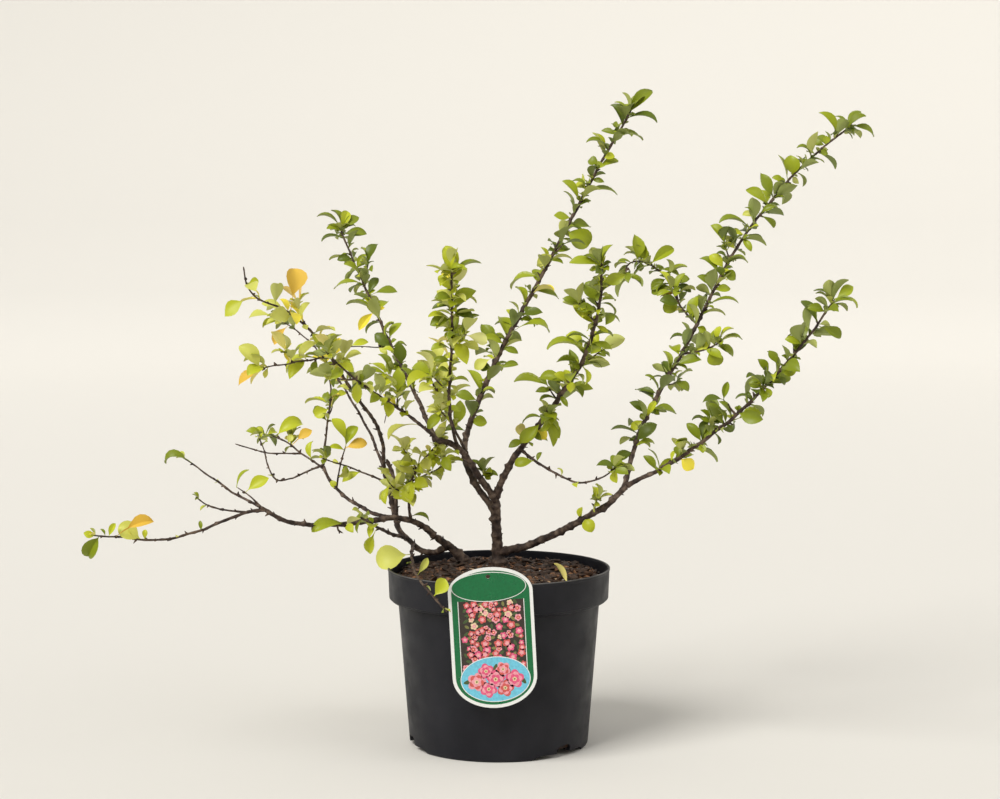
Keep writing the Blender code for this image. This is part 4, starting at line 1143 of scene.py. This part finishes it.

# A tint's colour above and beneath, how dull it is, and a slot name
Tint = namedtuple("Tint", "upper under roughness slot")
UNDERSIDE_DULLNESS = 0.2
TINTS = {
    "deep_green": Tint((0.115, 0.155, 0.01), (0.22, 0.27, 0.075), 0.4, "leaves"),
    "green": Tint((0.215, 0.265, 0.012), (0.31, 0.36, 0.1), 0.4, "leaves"),
    "fresh_green": Tint((0.33, 0.385, 0.016), (0.43, 0.47, 0.13), 0.4, "leaves"),
    "lime": Tint((0.5, 0.54, 0.026), (0.56, 0.59, 0.16), 0.42, "leaves"),
    "pale_lime": Tint((0.62, 0.63, 0.12), (0.66, 0.66, 0.24), 0.48, "leaves"),
    "yellow": Tint((0.85, 0.72, 0.06), (0.86, 0.76, 0.24), 0.52, "autumn_leaves"),
    "orange": Tint((0.76, 0.49, 0.06), (0.79, 0.58, 0.18), 0.58, "autumn_leaves"),
    "brown": Tint((0.2, 0.1, 0.05), (0.26, 0.15, 0.08), 0.7, "autumn_leaves"),
}

# How the leaves of a spray share out the tints
SPRAY_TINTS = {
    "deep green": (("deep_green", 4), ("green", 6), ("fresh_green", 3), ("lime", 1)),
    "green": (("deep_green", 2.5), ("green", 6), ("fresh_green", 5), ("lime", 2), ("yellow", 0.15)),
    "light green": (("deep_green", 1), ("green", 4), ("fresh_green", 6), ("lime", 4), ("yellow", 0.3)),
    "lime": (
        ("deep_green", 0.8), ("green", 3.5), ("fresh_green", 5), ("lime", 5),
        ("pale_lime", 1.2), ("yellow", 0.4),
    ),
    "pale": (("green", 1.5), ("fresh_green", 3), ("lime", 6), ("pale_lime", 2.5), ("yellow", 0.5)),
    "bright": (("fresh_green", 2), ("lime", 6), ("pale_lime", 4), ("yellow", 0.4)),
    "yellow": (("fresh_green", 1), ("lime", 4), ("pale_lime", 5), ("yellow", 4), ("orange", 1)),
}


def leaf_surface(name, colour, roughness):
    """A leaf's skin, faintly grained."""
    made, shader, tree = surface(name, roughness, colour)
    shader.inputs["Specular IOR Level"].default_value = 0.35
    relief(tree, shader, mottle(tree, 1400, 3), 0.05 * MM, 0.6)
    return made


def outline(share, widest, stalk):
    """Half the width of a blade at a share of its length, as a share of its widest."""
    blade_share = np.clip((share - stalk) / (1 - stalk), 0, 1)
    bend = math.log(0.5) / math.log(widest)
    return np.sin(np.pi * blade_share**bend) ** BLUNTNESS


def blade(heap, leaf, form, rng):
    """A leaf on its stalk: folded along the rib and arched, with its tip turned down."""
    bends = (1 - np.cos(np.pi * np.linspace(0, 1, form.stations + 1))) / 2
    share = EVEN_STATIONS * np.linspace(0, 1, form.stations + 1) + (1 - EVEN_STATIONS) * bends
    length = leaf.length + SINK
    half = length * rng.uniform(*form.widths) / 2 * outline(share, rng.uniform(*form.widest), form.stalk)
    half = np.maximum(half, STALK_HALF)
    half[-1] = STALK_HALF / 2
    arch = rng.uniform(*form.arches)
    turn = arch * (1 - 2 * share) - rng.uniform(*form.falls) * share**4
    middle = (turn[1:] + turn[:-1]) / 2
    steps = np.diff(share) * length
    out = np.concatenate([[0], np.cumsum(np.cos(middle) * steps)])
    rise = np.concatenate([[0], np.cumsum(np.sin(middle) * steps)])
    way, normal = np.array(leaf.way), np.array(leaf.normal)
    across = np.cross(way, normal)
    sway = rng.uniform(-SWAY, SWAY) * length * share**2
    spine = np.array(leaf.root) + np.outer(out, way) + np.outer(rise, normal) + np.outer(sway, across)
    facing = np.outer(np.cos(turn), normal) - np.outer(np.sin(turn), way)
    fold = rng.uniform(*form.folds)
    ripple = rng.uniform(0, RIPPLE) * length * np.sin(RIPPLE_WAVES * np.pi * share + rng.uniform(0, 6))
    sides = [(s, 0) for s in ACROSS] + [(s, 1) for s in ACROSS[-2:0:-1]]
    rings = np.empty((form.stations + 1, len(sides), 3))
    for number, (s, under) in enumerate(sides):
        lift = abs(s) ** CUPPING * half * math.sin(fold) + (ripple * s if abs(s) == 1 else 0)
        lift = lift - under * np.minimum(BLADE_THICKNESS * (1 + (s == 0)), half)
        rings[:, number] = spine + np.outer(s * half * math.cos(fold), across) + facing * lift[:, None]
    faces = ring_faces(form.stations + 1, len(sides))
    marks = ([0] * (len(ACROSS) - 1) + [1] * (len(ACROSS) - 1)) * form.stations + [0, 0]
    heap.add(rings.reshape(-1, 3), faces, marks)


def wear(leaf, name, form, rng, tint=None):
    """Adds a leaf to the heap of its tint, or of the one that its spray deals it."""
    if not tint:
        names, weights = zip(*SPRAY_TINTS[FOLIAGE[name].tint])
        tint = rng.choices(names, weights)[0]
    if node_of(name) in leafy_nodes:
        worn_by[tint].add(node_of(name))
    blade(heaps[tint], leaf, form, rng)


def beside(leaf, form, spreads, rng):
    """One more leaf from the same bud."""
    length = rng.uniform(*form.lengths) * MM
    return leaf_on(leaf.root, leaf.axis, rng.uniform(0, 360), rng.uniform(*spreads), length, rng)


heaps = {tint: Heap() for tint in TINTS}
worn_by = {tint: set() for tint in TINTS}
for name, runs in sprays:
    rng = random.Random(f"leaves {name}")
    spacing = FOLIAGE[name].spacing
    rich = spacing < RICH_SPACING
    for run in runs:
        for number, (leaf, in_solid) in enumerate(run):
            if spacing > SPARSE_SPACING:
                if in_solid:
                    wear(leaf._replace(length=leaf.length * SPARSE_SHARE), name, MIDDLE, rng)
                continue
            if in_solid:
                wear(leaf._replace(length=leaf.length * BROAD_STRETCH), name, BROAD, rng)
            if rng.random() < SLENDER_CHANCE:
                wear(beside(leaf, SLENDER, SLENDER_SPREADS, rng), name, SLENDER, rng)
            if rng.random() < MIDDLE_CHANCE:
                wear(beside(leaf, MIDDLE, MIDDLE_SPREADS, rng), name, MIDDLE, rng)
            for _ in range(rng.choice(RICH_ROUNDS if rich else POOR_ROUNDS)):
                wear(beside(leaf, ROUND, ROUND_SPREADS, rng), name, ROUND, rng)
            if rich and number + 1 < len(run) and rng.random() < BETWEEN_CHANCE:
                root = leaf.root.lerp(run[number + 1][0].root, rng.uniform(*BETWEEN_PLACES))
                between = leaf._replace(root=root)
                wear(beside(between, MIDDLE, BETWEEN_SPREADS, rng), name, MIDDLE, rng)
                wear(beside(between, ROUND, ROUND_SPREADS, rng), name, ROUND, rng)

for name, rows in SINGLES.items():
    for share, bearing, rise, length, roll, form, tint in rows:
        root, axis = along(paths[name], share)
        leaf = leaf_towards(root, heading(bearing, rise), roll, length * MM, axis)
        wear(leaf, name, form, random.Random(f"{name} {share} {length}"), tint)

for tint, look in TINTS.items():
    if not worn_by[tint]:
        continue
    upper = leaf_surface(f"Leaf {tint}", look.upper, look.roughness)
    under = leaf_surface(f"Leaf underside {tint}", look.under, look.roughness + UNDERSIDE_DULLNESS)
    made = heaps[tint].piece(f"leaves_{tint}", upper, under)
    crisp(made, 60)
    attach(made, "root")
    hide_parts(*sorted(worn_by[tint]))

# Label
# A flat white plastic plant label, printed on its face and hooked over the rim by a tongue behind it. The
# print is plain: a blank green header, rows of simple blossoms on dark leaves, and a sprig on sky blue.

LABEL_WIDTH = 69 * MM
LABEL_LENGTH = 116 * MM
LABEL_THICKNESS = 0.8 * MM
LABEL_TOP_ARCH = 20 * MM
LABEL_FOOT_ARCH = 26 * MM
LABEL_CENTRE = Vector((-4.9 * MM, -(RIM_RADIUS + 0.3 * MM + LABEL_THICKNESS / 2), 108.6 * MM))
LABEL_LEAN = 3.1
HOLE_RADIUS = 1.8 * MM
HOLE_PLACE = (-1.2 * MM, LABEL_LENGTH / 2 - 7.5 * MM)
TONGUE_WIDTH = 12 * MM
TONGUE_THICKNESS = 0.8 * MM
TONGUE_REACH = 8 * MM
TONGUE_GAP = 0.3 * MM
INK = 0.04 * MM
WHITE_EDGE = 2.7 * MM
LINE = 0.6 * MM
PANEL_HALF_WIDTH = 26.5 * MM
PANEL_TOP = 45 * MM
PANEL_FOOT = -30 * MM
PANEL_HEADROOM = 14 * MM
HEADER = ((-1.2 * MM, 42 * MM), 30 * MM, 11.6 * MM)
SKY = ((0.5 * MM, -34.2 * MM), 28 * MM, 18.2 * MM)
INK_WHITE = (0.82, 0.83, 0.81)
ARCH_STEPS = 24
PETALS = 5
FLOWER_STEPS = 30
LEAFLET_STEPS = 10


def plate_outline(inset):
    """The plate's outline, drawn in by an inset: two straight sides between two elliptic arches."""
    half = LABEL_WIDTH / 2 - inset
    points = []
    for step in range(ARCH_STEPS + 1):
        turn = math.pi * step / ARCH_STEPS
        rise = LABEL_LENGTH / 2 - LABEL_TOP_ARCH + (LABEL_TOP_ARCH - inset) * math.sin(turn)
        points.append((half * math.cos(turn), rise))
    for step in range(ARCH_STEPS + 1):
        turn = math.pi * step / ARCH_STEPS
        fall = LABEL_LENGTH / 2 - LABEL_FOOT_ARCH + (LABEL_FOOT_ARCH - inset) * math.sin(turn)
        points.append((-half * math.cos(turn), -fall))
    return points


def ellipse(centre, across, high, steps=48):
    """The outline of an ellipse with these half sizes."""
    turns = [2 * math.pi * step / steps for step in range(steps)]
    return [(centre[0] + across * math.cos(turn), centre[1] + high * math.sin(turn)) for turn in turns]


def flower(centre, radius, turned_by):
    """The outline of a simple open blossom."""
    points = []
    for step in range(FLOWER_STEPS):
        turn = 2 * math.pi * step / FLOWER_STEPS
        reach = radius * (0.7 + 0.3 * abs(math.cos(PETALS / 2 * (turn + turned_by))))
        points.append((centre[0] + reach * math.cos(turn), centre[1] + reach * math.sin(turn)))
    return points


def leaflet(centre, length, width, turned_by):
    """The outline of a small pointed leaf."""
    points = []
    for step in range(LEAFLET_STEPS):
        turn = 2 * math.pi * step / LEAFLET_STEPS
        out = length / 2 * math.cos(turn)
        side = width / 2 * math.sin(turn) * abs(math.sin(turn)) ** 0.3
        points.append((
            centre[0] + out * math.cos(turned_by) - side * math.sin(turned_by),
            centre[1] + out * math.sin(turned_by) + side * math.cos(turned_by),
        ))
    return points


def at_label(across, rise, out):
    """A place on the label: across it, along it and out of its face."""
    lean = math.radians(-LABEL_LEAN)
    x = across * math.cos(lean) + rise * math.sin(lean)
    z = rise * math.cos(lean) - across * math.sin(lean)
    return LABEL_CENTRE + Vector((x, -LABEL_THICKNESS / 2 - out, z))


def printed(heap, points, layer, holed=False):
    """One printed shape, a skin of ink on the layers below it, with the label's hole through it or not."""
    low, high = layer * INK - INK / 2, (layer + 1) * INK
    count = len(points)
    middle = HOLE_PLACE if holed else (sum(p[0] for p in points) / count, sum(p[1] for p in points) / count)
    inner = []
    for point in points:
        way = Vector((point[0] - middle[0], point[1] - middle[1])).normalized()
        inner.append(Vector(middle) + way * (HOLE_RADIUS if holed else 0.02 * MM))
    skins = ((inner, low), (points, low), (points, high), (inner, high))
    rings = [[at_label(*p, out) for p in ring] for ring, out in skins]
    if holed:
        rings.append(rings[0])
    heap.add([point for ring in rings for point in ring], ring_faces(len(rings), count, not holed))


def ink(name, colour, spread=0.12):
    """Glossy print or plastic, its colour varied by a spread."""
    made, shader, tree = surface(name, 0.3)
    dots = ramp(tree, mottle(tree, 500, 2), [
        (0.3, tuple(c * (1 - spread) for c in colour)),
        (0.7, tuple(min(1, c * (1 + spread)) for c in colour)),
    ])
    tree.links.new(dots, shader.inputs["Base Color"])
    tree.links.new(spread_between(tree, mottle(tree, 80), 0.25, 0.4), shader.inputs["Roughness"])
    return made


def plate_with_hole(name, outline_points, hole, material):
    """The plate itself, with its round hole."""
    curve = bpy.data.curves.new(name, "CURVE")
    curve.dimensions = "2D"
    curve.fill_mode = "BOTH"
    curve.extrude = LABEL_THICKNESS / 2
    for ring in (outline_points, hole):
        spline = curve.splines.new("POLY")
        spline.points.add(len(ring) - 1)
        for point, (across, rise) in zip(spline.points, ring):
            point.co = (across, rise, 0, 1)
        spline.use_cyclic_u = True
    drawn = bpy.data.objects.new(name, curve)
    bpy.context.scene.collection.objects.link(drawn)
    graph = bpy.context.evaluated_depsgraph_get()
    mesh = bpy.data.meshes.new_from_object(drawn.evaluated_get(graph))
    bpy.data.objects.remove(drawn)
    mesh.transform(Matrix.Rotation(math.radians(90), 4, "X"))
    mesh.transform(Matrix.Rotation(math.radians(-LABEL_LEAN), 4, "Y"))
    mesh.transform(Matrix.Translation(LABEL_CENTRE))
    return piece(name, mesh, material)


def strip(low, high):
    """A straight length of the tongue between two corners."""
    around = ((low[0], low[1]), (high[0], low[1]), (high[0], high[1]), (low[0], high[1]))
    return [(x, y, z) for z in (low[2], high[2]) for x, y in around], ring_faces(2, 4)


hole = ellipse(HOLE_PLACE, HOLE_RADIUS, HOLE_RADIUS, 24)
white_plastic = ink("White label plastic", INK_WHITE, 0.03)
plate = plate_with_hole("label_plate", plate_outline(0), hole, white_plastic)
crisp(plate, 40)
corner = abs(LABEL_CENTRE.x) + TONGUE_WIDTH / 2
inside = TONGUE_GAP - math.sqrt((BAND_RADIUS - POT_WALL) ** 2 - corner**2)
tongue_top = POT_HEIGHT + TONGUE_GAP + TONGUE_THICKNESS
left_side = LABEL_CENTRE.x - TONGUE_WIDTH / 2
far_corner = (LABEL_CENTRE.x + TONGUE_WIDTH / 2, inside + TONGUE_THICKNESS, tongue_top)
tongue = Heap()
tongue.add(*strip((left_side, LABEL_CENTRE.y, tongue_top - TONGUE_THICKNESS), far_corner))
tongue.add(*strip((left_side, inside, tongue_top - TONGUE_REACH), far_corner))
hook = tongue.piece("label_tongue", ink("White tongue plastic", INK_WHITE, 0.03))
crisp(hook, 40)
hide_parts("label")
for part in (plate, hook):
    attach(part, "root")

INK_COLOURS = {
    "green": (0, 0.14, 0.04),
    "white": INK_WHITE,
    "ground": (0.035, 0.025, 0.018),
    "leaf": (0.06, 0.1, 0.03),
    "olive": (0.2, 0.2, 0.06),
    "coral": (0.62, 0.1, 0.09),
    "pink": (0.75, 0.1, 0.22),
    "rose": (0.84, 0.34, 0.4),
    "cream": (0.8, 0.62, 0.38),
    "sky": (0.16, 0.55, 0.72),
}

# The panel's rows of blossoms on leaves: how many, how far apart in mm, how far in from the panel's top and
# sides, the leaves' lengths and width, and the radii of the blossoms and their eyes. Then the sprig.
BLOSSOM_ROWS = 13
BLOSSOM_COLUMNS = 11
BLOSSOM_SPACING = (4.9, 4.6)
BLOSSOM_HEADROOM = 17 * MM
BLOSSOM_MARGIN = 2.6 * MM
PRINTED_LEAF_LENGTHS = (4, 6)
PRINTED_LEAF_WIDTH = 2.4 * MM
BLOSSOM_RADII = (2.1, 3.9)
BLOSSOM_EYE = 0.5 * MM
SPRIG_LEAVES = 9
SPRIG_WIDTH = 44
SPRIG_ARCH = 9.5

# The other tone inside each blossom, and the posy on the sky: places, radii and tones
PETAL_SHADES = {"coral": "rose", "rose": "coral", "pink": "rose", "cream": "rose"}
POSY = (
    (-15.5, -1.5, 8, "rose"), (15.5, -0.5, 8, "pink"), (-7.5, 7, 6.6, "pink"), (6.5, 8, 6.4, "rose"),
    (-6, -8, 7.2, "pink"), (7.5, -7.5, 7.4, "coral"), (0, 0, 8, "pink"),
)

rng = random.Random("label print")
inks = {name: Heap() for name in INK_COLOURS}
printed(inks["green"], plate_outline(WHITE_EDGE), 0, holed=True)
panel = [
    (-PANEL_HALF_WIDTH, PANEL_FOOT), (PANEL_HALF_WIDTH, PANEL_FOOT),
    (PANEL_HALF_WIDTH, PANEL_TOP - PANEL_HEADROOM), (-PANEL_HALF_WIDTH, PANEL_TOP - PANEL_HEADROOM),
]
frame_line = [(x + math.copysign(LINE, x), y) for x, y in panel]
printed(inks["white"], frame_line, 1)
printed(inks["ground"], panel, 2)
for row in range(BLOSSOM_ROWS):
    for column in range(BLOSSOM_COLUMNS):
        step = column - BLOSSOM_COLUMNS // 2 + (row % 2) * 0.5
        x = step * BLOSSOM_SPACING[0] * MM + rng.uniform(-1, 1) * MM
        y = PANEL_TOP - BLOSSOM_HEADROOM - row * BLOSSOM_SPACING[1] * MM + rng.uniform(-1, 1) * MM
        if abs(x) > PANEL_HALF_WIDTH - BLOSSOM_MARGIN:
            continue
        tone = rng.choice(("leaf", "leaf", "olive"))
        turn = rng.uniform(0, math.pi)
        length = rng.uniform(*PRINTED_LEAF_LENGTHS) * MM
        printed(inks[tone], leaflet((x, y), length, PRINTED_LEAF_WIDTH, turn), 3)
        if (row + column) % 2 == 0 or rng.random() < 0.25:
            tone = rng.choice(("coral", "coral", "rose", "pink", "cream"))
            spot = (x + rng.uniform(-1, 1) * MM, y + rng.uniform(-1, 1) * MM)
            radius = min(rng.uniform(*BLOSSOM_RADII) * MM, PANEL_HALF_WIDTH - abs(spot[0]))
            printed(inks[tone], flower(spot, radius, rng.uniform(0, 6)), 4)
            printed(inks[PETAL_SHADES[tone]], flower(spot, radius * 0.55, rng.uniform(0, 6)), 5)
            printed(inks["cream"], ellipse(spot, BLOSSOM_EYE, BLOSSOM_EYE, 8), 6)
printed(inks["white"], ellipse(HEADER[0], HEADER[1] + LINE, HEADER[2] + LINE), 7, holed=True)
printed(inks["green"], ellipse(*HEADER), 8, holed=True)
printed(inks["white"], ellipse(SKY[0], SKY[1] + LINE, SKY[2] + LINE), 7)
printed(inks["sky"], ellipse(*SKY), 8)
for number in range(SPRIG_LEAVES):
    share = number / (SPRIG_LEAVES - 1) - 0.5
    rise = SPRIG_ARCH * MM * math.cos(share * 3.2) - 1 * MM
    spot = (SKY[0][0] + share * SPRIG_WIDTH * MM, SKY[0][1] + rise)
    printed(inks["leaf"], leaflet(spot, 9 * MM, 3.6 * MM, share * 2 + 1.2), 9)
for number, (x, y, radius, tone) in enumerate(POSY):
    spot = (SKY[0][0] + x * MM, SKY[0][1] + y * MM)
    radius = radius * MM
    shade = PETAL_SHADES[tone]
    printed(inks[tone], flower(spot, radius, number), 10)
    printed(inks[shade], flower(spot, radius * 0.78, number + 0.2), 11)
    printed(inks[tone], flower(spot, radius * 0.55, number + 0.7), 12)
    printed(inks["cream"], flower(spot, radius * 0.24, number), 13)
    printed(inks["olive"], ellipse(spot, radius * 0.1, radius * 0.1, 10), 14)

for name, colour in INK_COLOURS.items():
    made = inks[name].piece(f"label_print_{name}", ink(f"Label ink {name}", colour))
    crisp(made, 40)
    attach(made, "root")

# Fallen leaves
# Two leaves that have dropped from the shrub and lie on the compost: a yellow one against the rim and a
# pale dry one near the drooping shoot.

# A fallen leaf's tint, its place on the compost in mm, bearing, rise, roll, length in mm, and width for it
FALLEN = (
    ("yellow", (57, -52), 140, 55, 75, 21, (0.42, 0.48)),
    ("pale_lime", (-69, -16), 50, 45, 60, 20, (0.3, 0.34)),
)
FALLEN_LIFT = 0.5 * MM
FALLEN_ARCHES = (0.1, 0.2)
FALLEN_ROUGHNESS = 0.6

for tint, (x, y), bearing, rise, roll, length, widths in FALLEN:
    place = Vector((x * MM, y * MM, 0))
    place.z = soil_height(place.x, place.y) + FALLEN_LIFT
    leaf = leaf_towards(place, heading(bearing, rise), roll, length * MM)
    heap = Heap()
    blade(heap, leaf, BROAD._replace(widths=widths, arches=FALLEN_ARCHES), random.Random(tint))
    look = TINTS[tint]
    dropped = heap.piece(
        f"fallen_leaf_{tint}",
        leaf_surface(f"Fallen leaf {tint}", look.upper, FALLEN_ROUGHNESS),
        leaf_surface(f"Fallen leaf underside {tint}", look.under, FALLEN_ROUGHNESS + UNDERSIDE_DULLNESS),
    )
    crisp(dropped, 60)
    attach(dropped, "root")

# Floor, light and camera
# A plain cream paper floor that curves up into a round backdrop, broad soft lamps above and to the left, and
# the camera a little above the plant's middle.

# The paper's colours over its height, from the floor to where it stops changing
PAPER_FADE_HEIGHT = 1.4
PAPER_SHADES = (
    (0, (0.79, 0.768, 0.723)), (0.14, (0.712, 0.692, 0.652)), (0.3, (0.69, 0.67, 0.631)),
    (1, (0.712, 0.692, 0.652)),
)
PAPER_FLOOR_RADIUS = 4.5
PAPER_CURVE = 3
PAPER_TOP = 4.2
PAPER_STEPS = 96
PAPER_CURVE_STEPS = 16

# Lamps: place, softness in degrees, power and colour
LAMPS = {
    "Key lamp": ((-1.55, -1.6, 2.2), 30, 2.45, (1, 0.985, 0.95)),
    "Fill lamp": ((2.0, -1.2, 2.2), 40, 0.45, (0.97, 0.98, 1)),
}
ROOM_COLOUR = (1, 0.985, 0.95)
ROOM_STRENGTH = 0.42
CAMERA_PLACE = (0.001, -1.9, 0.454)
CAMERA_DIP = 4.78
CAMERA_LENS = 80.8
CAMERA_FILM_WIDTH = 36

profile = [(0, 0), (PAPER_FLOOR_RADIUS, 0)]
for step in range(1, PAPER_CURVE_STEPS + 1):
    turn = math.pi / 2 * step / PAPER_CURVE_STEPS
    profile.append((PAPER_FLOOR_RADIUS + PAPER_CURVE * math.sin(turn), PAPER_CURVE * (1 - math.cos(turn))))
profile.append((PAPER_FLOOR_RADIUS + PAPER_CURVE, PAPER_TOP))
material, shader, tree = surface("Cream paper", 0.9)
where = tree.nodes.new("ShaderNodeTexCoord")
axes = tree.nodes.new("ShaderNodeSeparateXYZ")
height = tree.nodes.new("ShaderNodeMapRange")
height.inputs["From Max"].default_value = PAPER_FADE_HEIGHT
tree.links.new(where.outputs["Object"], axes.inputs["Vector"])
tree.links.new(axes.outputs["Z"], height.inputs["Value"])
shades = ramp(tree, height.outputs["Result"], PAPER_SHADES)
tree.links.new(shades, shader.inputs["Base Color"])
relief(tree, shader, mottle(tree, 300), 0.05 * MM, 0.2)
floor = turned("paper_floor", profile, PAPER_STEPS, material)

scene = bpy.context.scene
world = bpy.data.worlds.new("Studio")
world.use_nodes = True
world.node_tree.nodes["Background"].inputs["Color"].default_value = (*ROOM_COLOUR, 1)
world.node_tree.nodes["Background"].inputs["Strength"].default_value = ROOM_STRENGTH
scene.world = world


def lamp(name, place, softness, power, colour):
    """A broad, far lamp that shines from a place towards the plant."""
    light = bpy.data.lights.new(name, "SUN")
    light.angle = math.radians(softness)
    light.energy = power
    light.color = colour
    obj = bpy.data.objects.new(name, light)
    scene.collection.objects.link(obj)
    obj.location = place
    obj.rotation_euler = (-Vector(place)).to_track_quat("-Z", "Y").to_euler()


for name, (place, softness, power, colour) in LAMPS.items():
    lamp(name, place, softness, power, colour)

camera_data = bpy.data.cameras.new("Camera")
camera_data.sensor_width = CAMERA_FILM_WIDTH
camera_data.lens = CAMERA_LENS
camera = bpy.data.objects.new("Camera", camera_data)
camera.location = CAMERA_PLACE
camera.rotation_euler = (math.radians(90 - CAMERA_DIP), 0, 0)
scene.collection.objects.link(camera)
scene.camera = camera
scene.view_settings.view_transform = "Standard"
